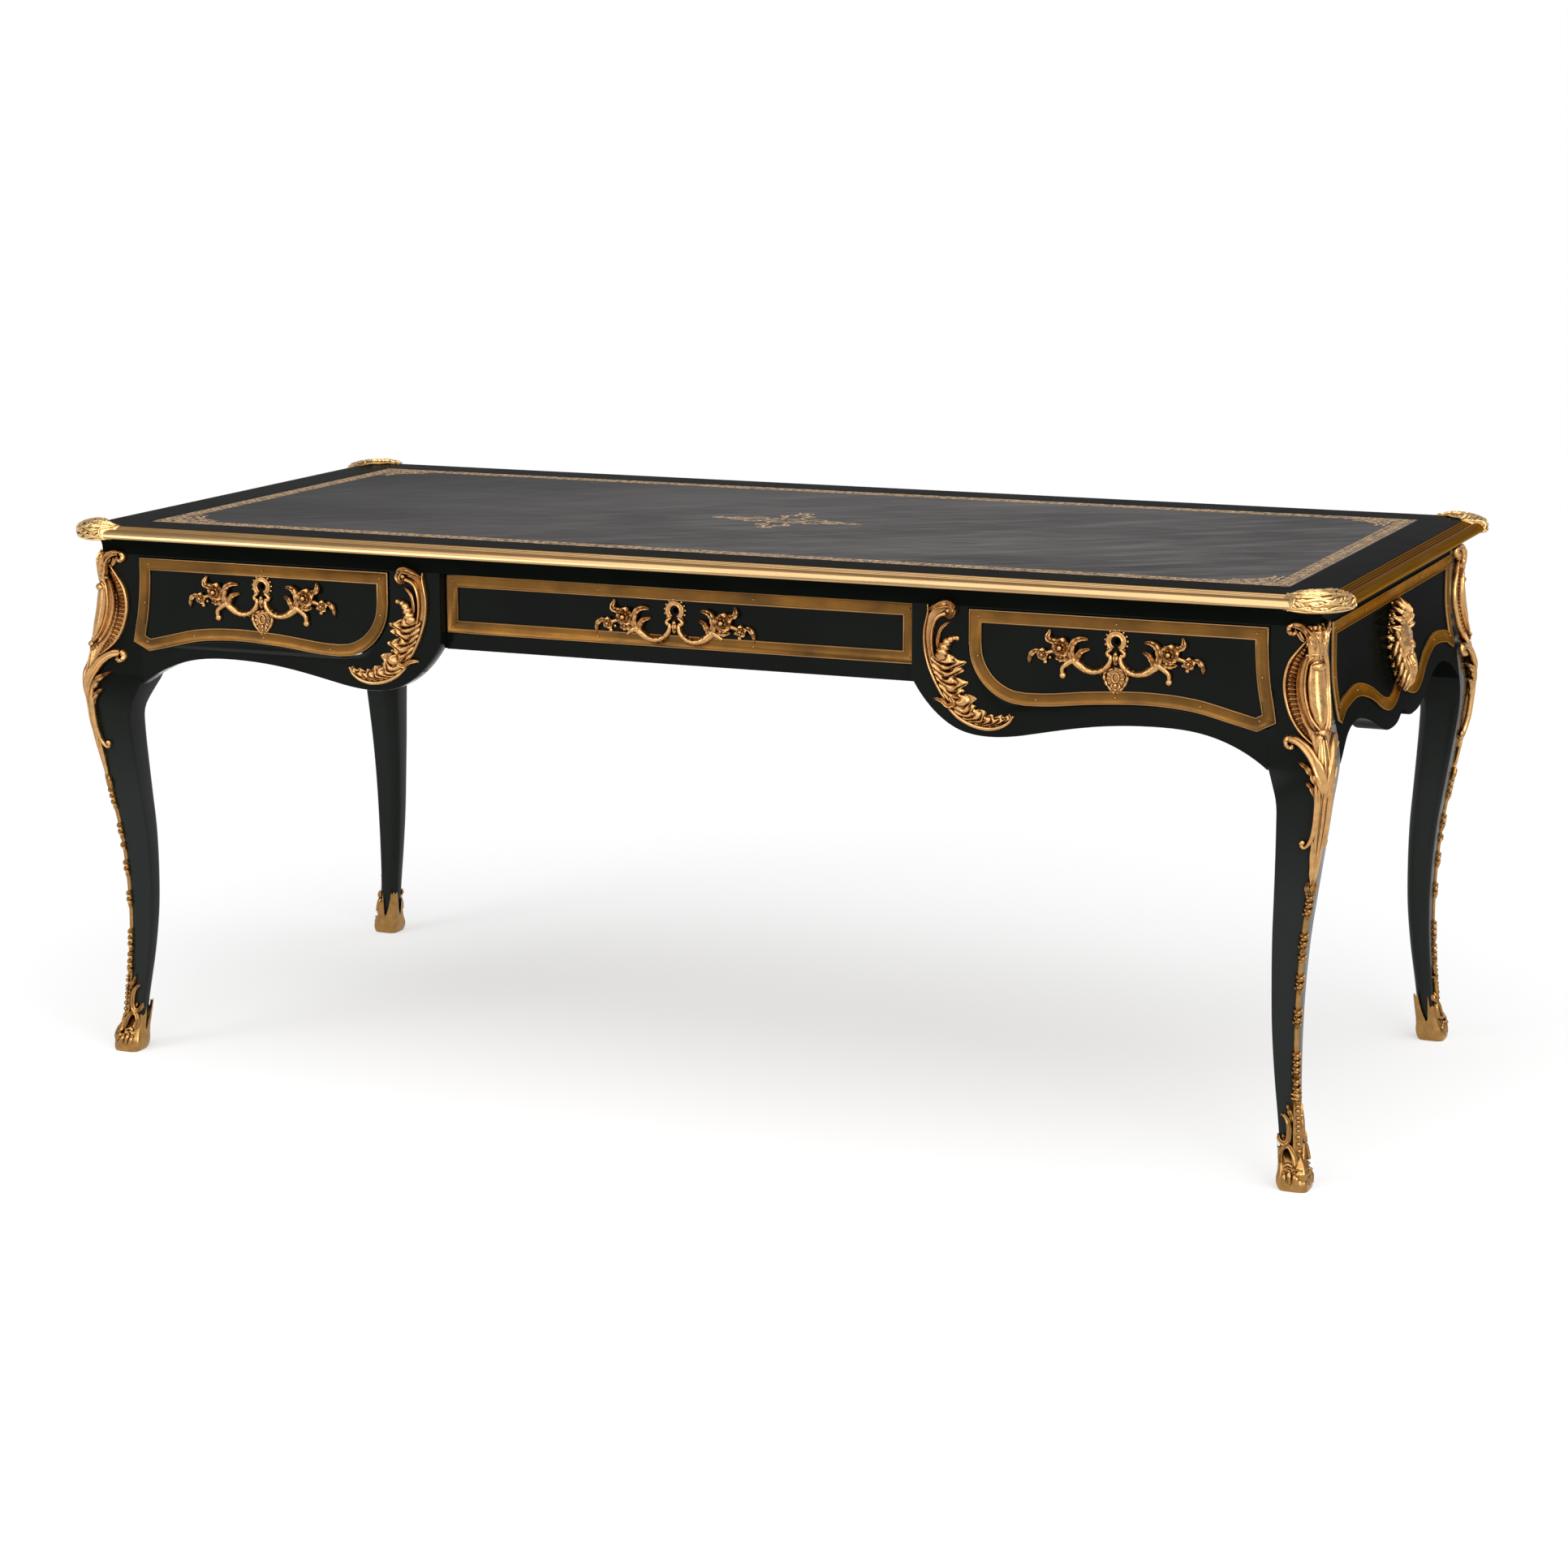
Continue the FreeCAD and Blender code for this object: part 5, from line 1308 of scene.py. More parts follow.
class BUREAU_OT_scrolls(bpy.types.Operator):
    """Models the rocaille scrolls on the pedestals' inner corners"""
    bl_idname = "bureau.scrolls"
    bl_label = "Pedestal scrolls"

    def execute(self, context):
        bm = pedestal_scroll()
        lay(bm, on_front)
        add_mirrored(bm, x=-1)
        add_mirrored(bm, y=-1)
        put(bm, "pedestal_scrolls", "gilt_bronze", ["scroll_mounts"], sharp=CAST_SHARP)
        return {"FINISHED"}


# Chutes on the legs, with the rods below them

def chute():
    """A leg's chute: capital with volutes, spoon between gadrooned crescents, C-scroll leaves, stem."""
    bm = bmesh.new()
    ribbon(bm, upright(738, 730, 716, 702), [22, 17, 11.5, 10], [5, 6, 7, 7], BED, steps=6)
    ribbon(bm, upright(706, 692, 670, 645, 622, 602, 586), [9, 19, 26, 28, 25, 17, 9],
           [6, 6, 5.5, 5.5, 5.5, 5.5, 5], BED, steps=6)
    ribbon(bm, upright(604, 575, 540, 510, 478, 450, 425, 404), [14, 13, 10, 9, 9, 8, 6, 2.5],
           [6, 6, 5.5, 5.5, 5.5, 5.5, 5, 4], BED, steps=6)
    for side in (1, -1):
        chute_side(bm, side)
    ribbon(bm, [(0, 694, 2), (0, 685, 3), (0, 665, 4), (0, 640, 4), (0, 622, 3), (0, 608, 2)],
           [6, 9.5, 11.5, 11, 7.5, 1.5], [7, 8, 8.5, 8.5, 8, 6], steps=7)
    ribbon(bm, [(-12, 700.5), (-6, 702), (0, 702.5), (6, 702), (12, 700.5)], [3.4, 3.8, 4.0, 3.8, 3.4],
           [9, 10, 11, 10, 9])
    ribbon(bm, [(-10, 693.5), (-5, 694.5), (0, 695), (5, 694.5), (10, 693.5)], [2.4, 2.6, 2.8, 2.6, 2.4],
           [8, 9, 9.5, 9, 8])
    bead(bm, 0, 687, 5.4, 9.0, 2)
    for across, top in ((-9, 737), (9, 737), (-4.5, 740.5), (4.5, 740.5), (0, 742)):
        leaf(bm, [(across * 0.5, 701, 3), (across * 0.8, 716, 5), (across, 729, 5), (across * 1.35, top, 2)],
             4.8, 8.0, 5)
    rosette(bm, 0, 606, 8.5, 6.0)
    for across, foot in ((0, 412), (-5, 440), (5, 440)):
        ribbon(bm, [(across * 0.6, 596, 4), (across * 1.3, 560, 4), (across, 515, 4), (across * 0.8, 470, 4),
                    (across * 0.2, foot, 3)], [1.6, 2.4, 2.2, 2.0, 0.8], [3.4, 4.2, 4, 3.6, 2.4], steps=8)
    return bm


def chute_side(bm, side):
    """The half of a chute that lies on one face of the leg."""
    volute = [(4, 696, 2), (4, 709, 3), (6, 722, 3), (12, 732, 3), (20, 737.5, 2), (29, 738.5, 1)]
    ribbon(bm, flipped(volute, side), [5, 5, 5, 5, 5.2, 4.6], [8, 9, 9.5, 9.5, 9, 8], FLUTED)
    ribbon(bm, flipped(spiral((29.5, 731.5), 7.0, 88, -0.8, 0.4), side), [5.0, 5.0, 4.4, 3.2],
           [9, 10, 10, 8.5], ribs=4, groove=0.2)
    tip = [(23, 729, 1), (19, 722, 1), (13.5, 716, 1)]
    ribbon(bm, flipped(tip, side), [4.0, 3.6, 0.8], [6, 5, 3], VEINED)
    crescent = [(13, 711), (22, 696), (29, 676), (31.8, 656), (30.5, 633), (25, 612), (16, 600), (5, 593)]
    ribbon(bm, flipped(crescent, side), [2.4, 7.4, 9.0, 9.2, 9.0, 8.4, 6.4, 2.4],
           [5, 7.5, 8.5, 8.5, 8.5, 8, 6.5, 4], steps=8, ribs=26, groove=0.5)
    rim = [(12, 719), (22, 707), (34, 690), (40, 668), (40.5, 645), (36.5, 622), (26, 602), (8, 586)]
    ribbon(bm, flipped(rim, side), [1.6, 2.4, 3.0, 3.2, 3.2, 3.0, 2.8, 1.8], [4, 6, 7, 7, 7, 7, 6, 5],
           steps=8)
    hollow = [(8, 704), (15, 688), (18.5, 664), (17, 638), (11, 617), (2.5, 603)]
    ribbon(bm, flipped(hollow, side), [2.4, 5.0, 6.0, 6.0, 4.6, 1.6], [9, 10, 10.5, 10.5, 10, 8], CUPPED,
           steps=8)
    lip = [(4, 700, 3), (9.5, 690, 4), (12.5, 668, 4), (12, 645, 4), (8.5, 624, 4), (0.5, 604, 3)]
    ribbon(bm, flipped(lip, side), [1.8, 2.2, 2.4, 2.4, 2.2, 1.4], [7, 7.5, 8, 8, 7.5, 6], steps=8)
    scroll = [(1, 524, 2), (4, 546, 3), (9.5, 566, 3), (19, 582.5, 3), (31, 592, 2), (43, 594.5, 1)]
    ribbon(bm, flipped(scroll, side), [2.4, 5.4, 7.0, 7.0, 6.0, 4.8], [6, 8, 9, 9, 8.5, 8], FLUTED, steps=8)
    ribbon(bm, flipped(spiral((43.5, 587.5), 7.0, 92, -0.8, 0.4), side), [4.8, 4.8, 4.2, 3.0], [8, 9, 9, 7.5],
           ribs=4, groove=0.2)
    leaf(bm, flipped([(4, 526, 1), (11, 546, 3), (21, 559, 3), (38, 568, 1)], side), 6.2, 8.0, 4, 7)
    leaf(bm, flipped([(5, 508, 1), (10, 526, 2), (17, 537, 2), (26, 543, 1)], side), 4.6, 6.5, 3, 7)
    tail = [(9, 560, 3), (9, 535, 3), (7, 510, 3), (6.5, 486, 3), (9, 466, 2), (15.5, 456.5, 1),
            (21, 459.5, 1)]
    ribbon(bm, flipped(tail, side), [2.0, 3.2, 3.6, 3.6, 3.6, 3.4, 2.8], [6, 7, 7, 7, 6.5, 6.5, 6], steps=7)
    bead(bm, side * 19.5, 462, 4.4, 3.4)


def rosette(bm, across, up, radius, out):
    """A little boss with leaves round it."""
    middle = Vector((across, up, out))
    for petal in range(6):
        angle = tau * petal / 6
        way = Vector((cos(angle), sin(angle), 0)) * radius
        ribbon(bm, [middle, middle + way], [radius * 0.2, radius * 0.36], [3.6, 2.4], CUPPED, steps=2)
    bead(bm, across, up, radius * 0.48, out + 3.0)


# Rods: height of each knot and how many pairs of leaves cross in it
ROD_KNOTS = [(380, 3), (331, 2), (306, 1), (275, 2), (229, 2), (167, 3), (142, 1), (127, 2)]
ROD_TOP, ROD_FOOT = 414.0, 112.0
KNOT_RISE = 9.0
KNOT_HALF = 6.0


def arris_rod(sizes):
    """The rod down the arris, ridged along its middle, with knots of crossing leaves."""
    bm = bmesh.new()
    wide = sizes.rod_width / MM
    path = upright(*[ROD_TOP - (ROD_TOP - ROD_FOOT) * step / 8 for step in range(9)])
    ribbon(bm, path, [wide * 0.85, wide * 0.8, wide * 0.75], [5.0, 4.6, 4.4], VEINED, steps=10)
    for up, pairs in ROD_KNOTS:
        for pair in range(pairs):
            middle = up + KNOT_RISE * (pair - (pairs - 1) / 2)
            for side in (1, -1):
                strand = [(-wide - 0.6, middle - KNOT_HALF, 1), (0.4, middle - 0.5, 2.6),
                          (wide + 1.4, middle + KNOT_HALF, 0.6)]
                leaf(bm, flipped(strand, side), 2.9, 5.0, 2, 4)
            bead(bm, 0, middle, 2.6, 5.4)
        if pairs > 1:
            foot = up - KNOT_RISE * pairs / 2
            for side in (1, -1):
                sprig = [(0.6, foot - 10), (2.6, foot - 2, 1), (wide + 1.8, foot + 4)]
                leaf(bm, flipped(sprig, side), 2.6, 5.0, 2, 3)
    for across, tip in ((0, 424), (4.5, 414), (-4.5, 412)):
        leaf(bm, [(across * 0.3, 388, 1), (across * 1.2, 402, 1), (across, tip, 0.5)], 3.6, 6.0, 3)
    return bm


class BUREAU_OT_chutes(bpy.types.Operator):
    """Models the chutes on the legs and the rods down their arrises"""
    bl_idname = "bureau.chutes"
    bl_label = "Chutes and rods"

    def execute(self, context):
        shape = chute()
        lay(shape, on_arris)
        put_at_corners(shape, "cast_chute", "gilt_bronze", "leg_chute", sharp=CAST_SHARP)
        rods = arris_rod(context.scene.bureau_sizes)
        lay(rods, on_arris)
        add_mirrored(rods, x=-1)
        add_mirrored(rods, y=-1)
        put(rods, "arris_rods", "gilt_bronze", ["leg_fillets"], kind="worn_gilt", sharp=CAST_SHARP)
        return {"FINISHED"}


# Sabots: height, and thickness of the wall outside the leg
SABOT_WALL = [(0.0, 6.2), (3.0, 7.6), (9.0, 8.6), (16.0, 8.2), (24.0, 6.4), (34.0, 4.8), (48.0, 3.8),
              (80.0, 3.0)]
SABOT_RINGS = 20
SABOT_AROUND = 72
SABOT_SQUARE = 4.0
# Heights of the shoe between its corners, of its straps above that, and how much taller the rear straps are
SABOT_LOW, SABOT_STRAP, REAR_STRAP = 30.0, 26.0, 18.0
STRAP_SHARP, STRAP_SCALLOPS, SCALLOP_BITE = 1.6, 11, 0.12
TOES = 5
TOE_SWELL, TOE_MIDDLE, TOE_HALF = 2.0, 12.0, 13.0
# Turns round the foot from the arris past which the toes end and the rear straps begin
ARRIS_TURN, TOE_TURN, REAR_TURN = 0.875, 0.28, 0.3


def sabot_shell():
    """The shoe round the toe: paw-like lobes at the sole, cut down in arches between its corners."""
    bm = bmesh.new()

    def shape(s, t):
        angle = tau * t
        corner = abs(sin(2 * angle))
        rear = abs((t - ARRIS_TURN + 0.5) % 1 - 0.5)
        strap = min(STRAP_SHARP * corner ** 2, 1.0) * (1 - SCALLOP_BITE * abs(sin(STRAP_SCALLOPS * angle)))
        top = SABOT_LOW + (SABOT_STRAP + REAR_STRAP * (rear > REAR_TURN)) * strap
        height = top * s
        swell, width, _ = leg_at(round(height, 1))
        reach = width / 2 + level(SABOT_WALL, height)
        square = (abs(cos(angle)) ** SABOT_SQUARE + abs(sin(angle)) ** SABOT_SQUARE) ** (-1 / SABOT_SQUARE)
        lobe = TOE_SWELL * (abs(cos(angle * TOES)) - 0.5) * max(0, 1 - abs(height - TOE_MIDDLE) / TOE_HALF)
        distance = reach * square + lobe * (rear < TOE_TURN)
        x, y = HALF_X + swell - width / 2, FACE + swell - width / 2
        return Vector((x + distance * cos(angle), -y + distance * sin(angle), height))

    skin(bm, SABOT_RINGS, SABOT_AROUND, shape)
    return bm


def sabot_trim():
    """Scrolls, knuckles, beaded stem and arch of a sabot, laid on the leg's two outer faces."""
    bm = bmesh.new()
    for side in (1, -1):
        arch = [(5, 34, 2), (5.5, 46, 2), (10, 56, 1), (16.5, 57, 1), (22, 50, 2), (24, 36, 2)]
        ribbon(bm, flipped(arch, side), [3, 3.4, 3.6, 3.6, 3.4, 3], [7, 6.5, 6, 6, 6, 6.5], FLUTED, steps=6)
        scroll = [(25, 72, 0), (24, 65, 0), (18, 60.5, 1), (12, 65, 1), (10, 77, 1), (11, 88, 1),
                  (15, 95.5, 0), (21.5, 98, 0)]
        ribbon(bm, flipped(scroll, side), [1.2, 3.0, 4.0, 4.0, 3.8, 3.6, 3.0, 1.2],
               [4, 6, 6.5, 6, 6, 5.5, 5, 3], FLUTED, steps=6)
        leaf(bm, flipped([(5, 88, 1), (8.5, 101, 1), (12.5, 114, 0)], side), 4.0, 5.4, 3)
        leaf(bm, flipped([(12, 60, 2), (17, 66, 2), (17.5, 74, 1)], side), 3.0, 4.0, 2)
        for place, up in ((6.5, 23), (14, 25), (21, 22)):
            knuckle = [(place, up - 14, 5.5), (place, up - 4, 6), (place * 0.97, up + 4, 3.5)]
            ribbon(bm, flipped(knuckle, side), [3.0, 4.2, 2.6], [4.6, 5.2, 3.6], steps=4)
            crease = [(place - 2.5, up + 1, 7), (place, up + 3, 7.6), (place + 2.5, up + 1, 7)]
            ribbon(bm, flipped(crease, side), [1.2, 1.5, 1.2], [2.4, 3, 2.4], steps=3)
        ribbon(bm, flipped([(8, 32, 5), (14, 34.5, 4), (20, 32, 5)], side), [2.2, 2.8, 2.2], [4, 4.5, 4])
    ribbon(bm, upright(22, 45, 70, 95, 118), [9, 8.5, 7.5, 6.5, 5], [8, 7, 6.5, 5.5, 5], VEINED, steps=8)
    for up, radius in ((52, 2.6), (61, 2.8), (70, 3.0), (78, 2.4), (84, 2.6), (90, 2.2), (95, 2.6),
                       (104, 2.6), (110, 2.2)):
        bead(bm, 0, up, radius, 6.0)
    for up in (119, 124.5):
        ribbon(bm, [(-6.5, up + 1.5), (0, up, 1), (6.5, up + 1.5)], [2.0, 2.8, 2.0], [5.5, 6.5, 5.5], steps=6)
    leaf(bm, [(0, 14, 7), (0, 28, 8), (0, 46, 4)], 6.5, 6.0, 4)
    return bm


class BUREAU_OT_sabots(bpy.types.Operator):
    """Models the cast shoes on the legs' toes"""
    bl_idname = "bureau.sabots"
    bl_label = "Sabots"

    def execute(self, context):
        trim = sabot_trim()
        lay(trim, on_arris)
        shape = joined(sabot_shell(), trim)
        put_at_corners(shape, "cast_sabot", "gilt_bronze", "sabot", kind="worn_gilt", sharp=CAST_SHARP)
        return {"FINISHED"}


# Masks on the ends

MASK_MIDDLE = 655.0
MASK_LEAVES = 26
MASK_WIDE, MASK_HIGH = 34, 60
# Leaves round the mask: share of the way out to its edge, and height
MASK_FRINGE = ((0.5, 5), (0.72, 7), (0.9, 4), (0.98, 0.5))
MASK_STRETCH = Vector((1.1, 1.0, 1.3))
FACE_WIDE, FACE_HIGH, FACE_OUT = 23.0, 33.0, 15.0
FACE_RINGS, FACE_AROUND = 34, 72
FACE_RIM = 0.97
FACE_UP, FACE_SEAT = 6.0, 4.0
# The face's forms: how far each stands out, its middle to either side and up, and its half width and height
FACE_FORMS = [
    (2.2, 9.0, 5.5, 6.5, 2.0), (-2.6, 9.0, 1.0, 4.5, 2.6), (1.6, 9.0, 0.8, 3.0, 1.4),
    (4.4, 0.0, -5.0, 3.4, 7.0), (2.5, 2.6, -9.5, 2.6, 2.2), (1.8, 11.0, -8.0, 6.0, 5.0),
    (1.7, 0.0, -15.4, 6.0, 1.3), (1.8, 0.0, -18.6, 5.0, 1.5), (-1.4, 0.0, -17.0, 6.5, 0.8),
    (2.5, 0.0, -25.0, 6.0, 4.0),
]
# Leaves of the mask's crown: root, bend and tip; locks of its hair and beard: across, up, out
MASK_CROWN = [((4, 686), (8, 702), (12, 715)), ((10, 684), (17, 699), (23, 708)),
              ((15, 679), (25, 691), (32, 697)), ((18, 672), (29, 680), (36, 683))]
MASK_LOCKS = [
    ([(20, 690, 6), (30, 678, 8), (26, 664, 8), (34, 650, 6), (30, 638, 3)], 4.2),
    ([(19, 676, 9), (27, 666, 10), (23, 652, 10), (31, 638, 8), (26, 624, 4)], 4.2),
    ([(21, 660, 10), (28, 650, 10), (22, 638, 10), (28, 624, 8), (22, 610, 4)], 4.0),
    ([(18, 645, 11), (24, 636, 12), (18, 624, 11), (23, 612, 8), (16, 600, 4)], 4.0),
    ([(13, 640, 13), (17, 630, 14), (12, 618, 13), (16, 606, 9), (10, 594, 4)], 3.8),
    ([(7, 640, 14), (9, 630, 15), (5, 618, 14), (9, 604, 10), (4, 591, 4)], 3.8),
]


def mask():
    """A leafy bearded mask with a calm, plainly proportioned face."""
    bm = bmesh.new()

    def relief(across, up):
        edge = max(0.0, 1 - (across / FACE_WIDE) ** 2 - (up / FACE_HIGH) ** 2)
        out = FACE_OUT * edge ** 0.5
        for height, x, z, wide, high in FACE_FORMS:
            out += height * exp(-((abs(across) - x) / wide) ** 2 - ((up - z) / high) ** 2)
        return out

    def shape(s, t):
        angle = tau * t
        reach = min(s / FACE_RIM, 1.0)
        across, up = FACE_WIDE * reach * cos(angle), FACE_HIGH * reach * sin(angle)
        out = relief(across, up) if s < 1 - JOIN else -1.0
        return Vector((across, MASK_MIDDLE + FACE_UP + up, out + FACE_SEAT))

    skin(bm, FACE_RINGS, FACE_AROUND, shape)
    ribbon(bm, upright(597, 612, 640, 670, 697, 712), [6, 15, 22, 23, 18, 8], [5, 8, 9, 9, 8, 4], steps=6)
    for step in range(MASK_LEAVES):
        angle = tau * step / MASK_LEAVES
        way = Vector((cos(angle) * MASK_WIDE, sin(angle) * MASK_HIGH))
        path = [(*(Vector((0, MASK_MIDDLE)) + way * share), out) for share, out in MASK_FRINGE]
        ribbon(bm, path, [4.0, 6.4, 6.0, 2.6], [4.0, 5.0, 4.6, 3.0], VEINED, lobes=3, bite=0.2)
    for side in (1, -1):
        for root, bend, tip in MASK_CROWN:
            leaf(bm, flipped([(*root, 9.0), (*bend, 12.0), (*tip, 4.0)], side), 5.4, 6.0, 4)
        for path, wide in MASK_LOCKS:
            widths = [wide * 0.2, wide * 0.9, wide, wide * 0.8, wide * 0.2]
            ribbon(bm, flipped(path, side), widths, [2, 5.5, 6, 5, 2], FLUTED, steps=6)
        ribbon(bm, flipped([(1, 645.5, 16), (6, 645, 15), (11, 640, 12), (14, 633, 9)], side),
               [1.2, 2.2, 2.0, 0.8], [3, 3.4, 3, 2], steps=5)
    for across, tip in ((0, 719), (-5, 715), (5, 715)):
        leaf(bm, [(across * 0.4, 684, 11), (across * 0.8, 700, 13), (across * 1.3, tip, 4)], 5.0, 6.0, 4)
    bead(bm, 0, 692, 4.0, 16.0)
    leaf(bm, [(0, 640, 14), (0, 620, 15), (0, 594, 4)], 6.4, 7.0, 6)
    bmesh.ops.scale(bm, vec=MASK_STRETCH, verts=bm.verts)
    return bm


class BUREAU_OT_masks(bpy.types.Operator):
    """Models the leafy masks in the middle of the ends"""
    bl_idname = "bureau.masks"
    bl_label = "Masks"

    def execute(self, context):
        bm = mask()
        lay(bm, on_end)
        add_mirrored(bm, x=-1)
        put(bm, "end_masks", "gilt_bronze", ["side_masks"], sharp=CAST_SHARP)
        return {"FINISHED"}


# Writing leather

LEATHER_EASE = 0.5
BORDER_INSET = 4.0
BORDER_WIDTH = 20.0
# Ruled lines of the border: inset, and half width
BORDER_LINES = [(0.0, 1.0), (2.4, 0.5), (BORDER_WIDTH, 0.8), (BORDER_WIDTH + 2.2, 0.45)]
# How deep the gold is pressed into the leather
STAMP_DEPTH = 0.05


def stamp_line(bm, path, wide, steps=4):
    """A thin stamped line of gold."""
    ribbon(bm, path, [wide, wide], [1.0, 1.0], [(1, 0), (0.7, 1), (-0.7, 1), (-1, 0)], steps)


def border_stamp(bm, across, up, turned, flip):
    """One stamp of the lace border: a pair of C-scrolls, a sprig and a dot."""
    def spot(u, v):
        v *= flip
        return (across + v, up + u) if turned else (across + u, up + v)

    for side in (1, -1):
        stamp_line(bm, [spot(side * 1.0, -6.0), spot(side * 5.0, -4.0), spot(side * 5.4, 1.0),
                        spot(side * 2.2, 2.4)], 1.1, 3)
        stamp_line(bm, [spot(side * 0.6, -1.0), spot(side * 3.6, 4.0), spot(side * 1.2, 7.0)], 1.05, 3)
    stamp_line(bm, [spot(0, -6.5), spot(0, 7.6)], 0.8, 2)


# Strokes of the corner sprays and of a quarter of the middle: points, and half width
SPRAY = [
    ([(4, 4), (20, 8), (34, 6), (44, 10), (40, 16), (33, 13)], 2.1),
    ([(10, 6), (24, 18), (40, 22), (54, 16), (62, 18)], 1.9),
    ([(24, 18), (30, 30), (26, 36), (21, 31)], 1.9),
    ([(44, 10), (54, 6), (64, 7)], 1.6),
    ([(12, 5), (16, 14), (26, 12)], 1.6),
]
CROSS = [
    ([(0, 16), (16, 20), (30, 12), (52, 9), (72, 12), (84, 6), (74, 2)], 2.4),
    ([(30, 12), (40, 22), (54, 22), (56, 15)], 2.1),
    ([(52, 9), (64, 2), (90, 3), (118, 0)], 2.2),
    ([(96, 2), (102, 7), (110, 5)], 1.9),
    ([(16, 20), (13, 38), (18, 52), (9, 60), (5, 52)], 2.2),
    ([(13, 38), (24, 44), (24, 54), (18, 52)], 2.1),
    ([(9, 60), (4, 74), (0, 88)], 2.2),
    ([(4, 74), (10, 78), (9, 84)], 1.9),
    ([(4, 4), (14, 9), (22, 3), (36, 0)], 1.9),
]


def corner_spray(bm, x, y, turn_x, turn_y):
    """Scrolls that reach in from a corner of the border, on both sides of its diagonal."""
    for points, wide in SPRAY:
        stamp_line(bm, [(x - turn_x * u, y - turn_y * v) for u, v in points], wide)
    for points, wide in SPRAY:
        stamp_line(bm, [(x - turn_x * v, y - turn_y * u) for u, v in points], wide)


def centre_cross(bm):
    """The four-armed scroll in the middle of the leather."""
    for sx in (1, -1):
        for sy in (1, -1):
            for points, wide in CROSS:
                stamp_line(bm, [(sx * u, sy * v) for u, v in points], wide)


def gold_tooling(sizes):
    """The gold on the leather: ruled border lines, lace stamps between them, corner sprays and the centre."""
    bm = bmesh.new()
    half_x, half_y = LEATHER_HIGH.x - BORDER_INSET, LEATHER_HIGH.y - BORDER_INSET
    for inset, wide in BORDER_LINES:
        x, y = half_x - inset, half_y - inset
        corners = [(-x, -y), (x, -y), (x, y), (-x, y)]
        for line in zip(corners, corners[1:] + corners[:1]):
            stamp_line(bm, line, wide, 1)
    pitch = sizes.tooling_pitch / MM
    middle = BORDER_WIDTH / 2 + 1.0
    for turned, run, reach in ((False, half_x, half_y), (True, half_y, half_x)):
        count = round(2 * (run - BORDER_WIDTH) / pitch)
        for step in range(count + 1):
            along = (2 * step / count - 1) * (run - BORDER_WIDTH + 4)
            for sign in (1, -1):
                across, up = (sign * (reach - middle), along) if turned else (along, sign * (reach - middle))
                border_stamp(bm, across, up, turned, -sign)
    inner_x, inner_y = half_x - BORDER_WIDTH - 2, half_y - BORDER_WIDTH - 2
    for sx in (1, -1):
        for sy in (1, -1):
            corner_spray(bm, sx * inner_x, sy * inner_y, sx, sy)
    centre_cross(bm)
    relief = sizes.tooling_relief / MM
    for vert in bm.verts:
        vert.co = Vector((vert.co.x, vert.co.y, LEATHER_HIGH.z - STAMP_DEPTH + vert.co.z * relief))
    return bm


def on_leather_top(first, second):
    """Whether an edge runs round the top of the hide."""
    return min(first.z, second.z) > LEATHER_HIGH.z - JOIN


class BUREAU_OT_leather(bpy.types.Operator):
    """Lays the writing leather and stamps its gold tooling"""
    bl_idname = "bureau.leather"
    bl_label = "Leather"

    def execute(self, context):
        hide = eased_copy("writing_leather", LEATHER_EASE, on_leather_top)
        put(hide, "leather_panel", "tooled_leather", ["writing_leather"])
        put(gold_tooling(context.scene.bureau_sizes), "gold_tooling", "tooled_leather", kind="gold_leaf")
        return {"FINISHED"}


# Inside

class BUREAU_OT_inside(bpy.types.Operator):
    """Finishes the oak drawers and runners and the steel locks"""
    bl_idname = "bureau.inside"
    bl_label = "Drawer insides"

    def execute(self, context):
        paint("oak", "top_panel", "drawer_runners", "drawer_stops")
        for hand in ("right", "centre", "left"):
            paint("oak", f"{hand}_drawer_box", f"{hand}_drawer_bottom")
            paint("lock_steel", f"{hand}_drawer_lock", f"{hand}_drawer_lock_bolt")
        return {"FINISHED"}


# Stage

CAMERA_PLACE = (2.02381, -4.88436, 1.4637)
CAMERA_AZIMUTH = 22.53
CAMERA_ELEVATION = 11.47
CAMERA_LENS = 84.89
SENSOR = 36.0
CAMERA_FAR = 1000.0
FLOOR_HALF = 120.0
FLOOR_FLAT = 12.0
FLOOR_RISE = 4.0
FLOOR_GRID = 60
OVERHEAD_WAY, OVERHEAD_STRENGTH, OVERHEAD_SPREAD = (0.3, -0.4, 1.0), 3.4, radians(90)
LAMP_TARGET = (0.0, 0.0, 0.5)
# Softboxes: place in metres, strength in watts, width and height in metres
SOFTBOXES = {
    "front_softbox": ((-3.0, -4.2, 2.6), 80.0, 2.0, 3.2),
    "middle_softbox": ((0.25, -4.4, 2.4), 22.0, 1.6, 2.0),
    "right_softbox": ((4.2, -4.4, 2.0), 100.0, 2.4, 1.6),
}


def add_lamp(scene, name, kind, place, strength, **settings):
    """A lamp that shines from its place towards the desk."""
    light = bpy.data.lights.new(name, kind)
    light.energy = strength
    for key, value in settings.items():
        setattr(light, key, value)
    lamp = bpy.data.objects.new(name, light)
    target = Vector(LAMP_TARGET) if kind == "AREA" else Vector()
    lamp.rotation_euler = (Vector(place) - target).to_track_quat("Z", "Y").to_euler()
    lamp.location = place
    scene.collection.objects.link(lamp)


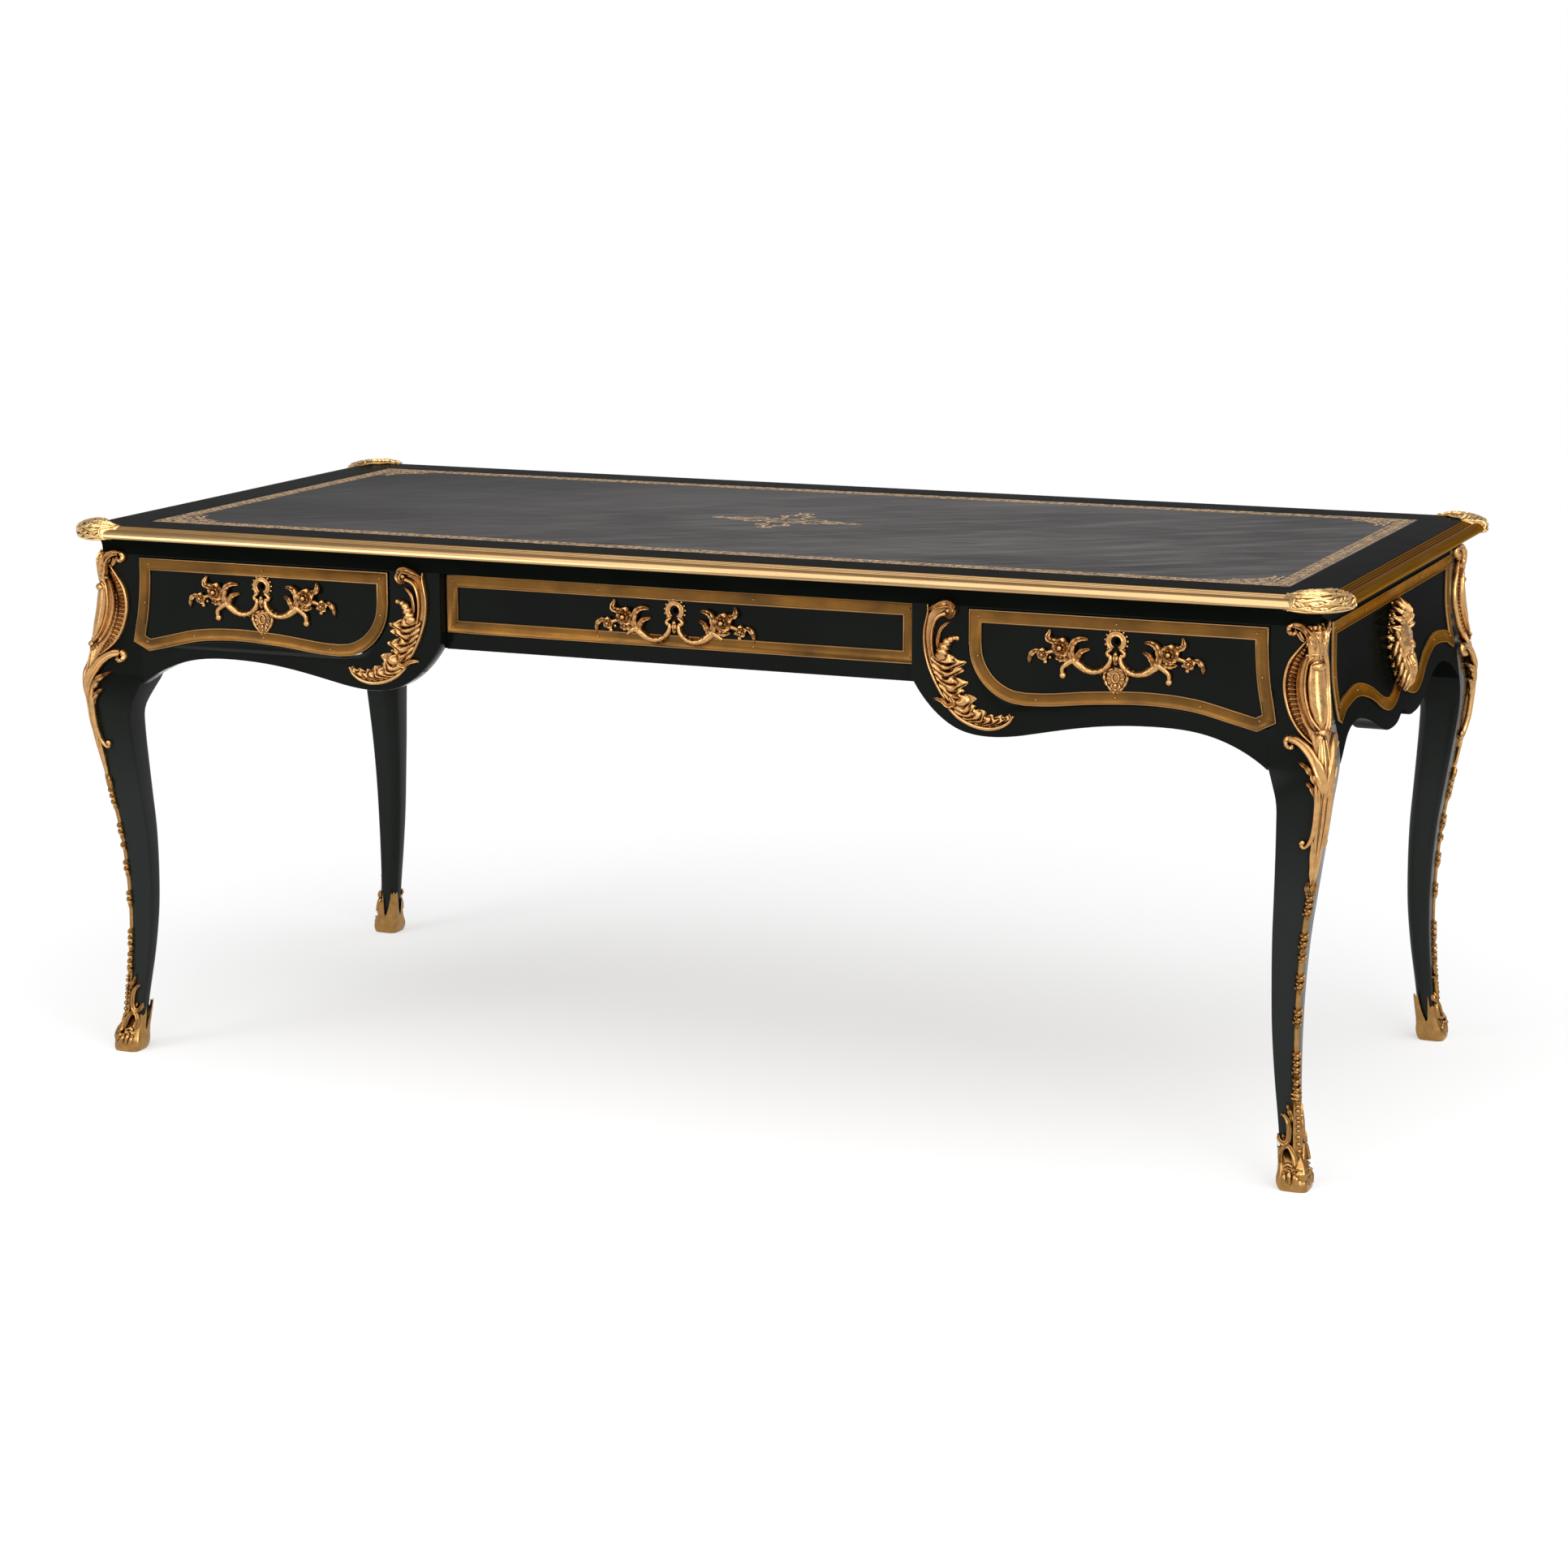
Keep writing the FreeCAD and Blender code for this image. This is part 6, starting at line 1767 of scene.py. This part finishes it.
class BUREAU_OT_stage(bpy.types.Operator):
    """Sets up the floor, the soft light and the camera"""
    bl_idname = "bureau.stage"
    bl_label = "Stage"

    def execute(self, context):
        scene = context.scene
        bm = bmesh.new()
        bmesh.ops.create_grid(bm, x_segments=FLOOR_GRID, y_segments=FLOOR_GRID, size=FLOOR_HALF)
        for vert in bm.verts:
            away = max(vert.co.xy.length - FLOOR_FLAT, 0) / (FLOOR_HALF - FLOOR_FLAT)
            vert.co.z = FLOOR_RISE * away ** 2
        mesh = bpy.data.meshes.new("studio_floor")
        bm.to_mesh(mesh)
        bm.free()
        mesh.materials.append(finish("floor"))
        floor = bpy.data.objects.new("studio_floor", mesh)
        scene.collection.objects.link(floor)

        world = bpy.data.worlds.new("studio")
        world.use_nodes = True
        tree = world.node_tree
        sky = tree.nodes["Background"]
        sky.inputs["Color"].default_value = (1, 1, 1, 1)
        tree.links.new(seen(tree, BACKDROP, BACKDROP_GLOSS, AMBIENT), sky.inputs["Strength"])
        scene.world = world
        add_lamp(scene, "overhead_softbox", "SUN", OVERHEAD_WAY, OVERHEAD_STRENGTH, angle=OVERHEAD_SPREAD)
        for name, (place, watts, wide, high) in SOFTBOXES.items():
            add_lamp(scene, name, "AREA", place, watts, shape="RECTANGLE", size=wide, size_y=high)

        camera = bpy.data.cameras.new("camera")
        camera.lens = CAMERA_LENS
        camera.sensor_width = SENSOR
        camera.clip_end = CAMERA_FAR
        view = bpy.data.objects.new("camera", camera)
        scene.collection.objects.link(view)
        azimuth, elevation = radians(CAMERA_AZIMUTH), radians(CAMERA_ELEVATION)
        back = Vector((sin(azimuth) * cos(elevation), -cos(azimuth) * cos(elevation), sin(elevation)))
        right = Vector((cos(azimuth), sin(azimuth), 0))
        turn = Matrix((right, back.cross(right), back)).transposed()
        view.matrix_world = Matrix.Translation(CAMERA_PLACE) @ turn.to_4x4()
        scene.camera = view
        scene.view_settings.view_transform = "Standard"
        return {"FINISHED"}


OPERATORS = (BUREAU_OT_boards, BUREAU_OT_legs, BUREAU_OT_edge_mouldings, BUREAU_OT_clasps, BUREAU_OT_chutes,
             BUREAU_OT_sabots, BUREAU_OT_bandings, BUREAU_OT_pulls, BUREAU_OT_scrolls, BUREAU_OT_masks,
             BUREAU_OT_leather, BUREAU_OT_inside, BUREAU_OT_stage)


class BUREAU_PT_panel(bpy.types.Panel):
    """Sizes, finishes and pieces of the desk"""
    bl_label = "Bureau plat"
    bl_space_type = "VIEW_3D"
    bl_region_type = "UI"
    bl_category = "Bureau plat"

    def draw(self, context):
        for group in (context.scene.bureau_sizes, context.scene.bureau_finishes):
            box = self.layout.box()
            for name in group.__annotations__:
                box.prop(group, name)
        for operator in OPERATORS:
            self.layout.operator(operator.bl_idname)


CLASSES = (BureauSizes, BureauFinishes, *OPERATORS, BUREAU_PT_panel)


def register():
    """Adds the desk's operators, panel and settings."""
    for item in CLASSES:
        bpy.utils.register_class(item)
    bpy.types.Scene.bureau_sizes = bpy.props.PointerProperty(type=BureauSizes)
    bpy.types.Scene.bureau_finishes = bpy.props.PointerProperty(type=BureauFinishes)


def unregister():
    """Takes the desk's operators, panel and settings away."""
    del bpy.types.Scene.bureau_finishes
    del bpy.types.Scene.bureau_sizes
    for item in reversed(CLASSES):
        bpy.utils.unregister_class(item)


def main():
    """Makes every piece and the stage."""
    register()
    bpy.ops.bureau.boards()
    bpy.ops.bureau.legs()
    bpy.ops.bureau.edge_mouldings()
    bpy.ops.bureau.clasps()
    bpy.ops.bureau.chutes()
    bpy.ops.bureau.sabots()
    bpy.ops.bureau.bandings()
    bpy.ops.bureau.pulls()
    bpy.ops.bureau.scrolls()
    bpy.ops.bureau.masks()
    bpy.ops.bureau.leather()
    bpy.ops.bureau.inside()
    bpy.ops.bureau.stage()


if __name__ == "__main__":
    main()
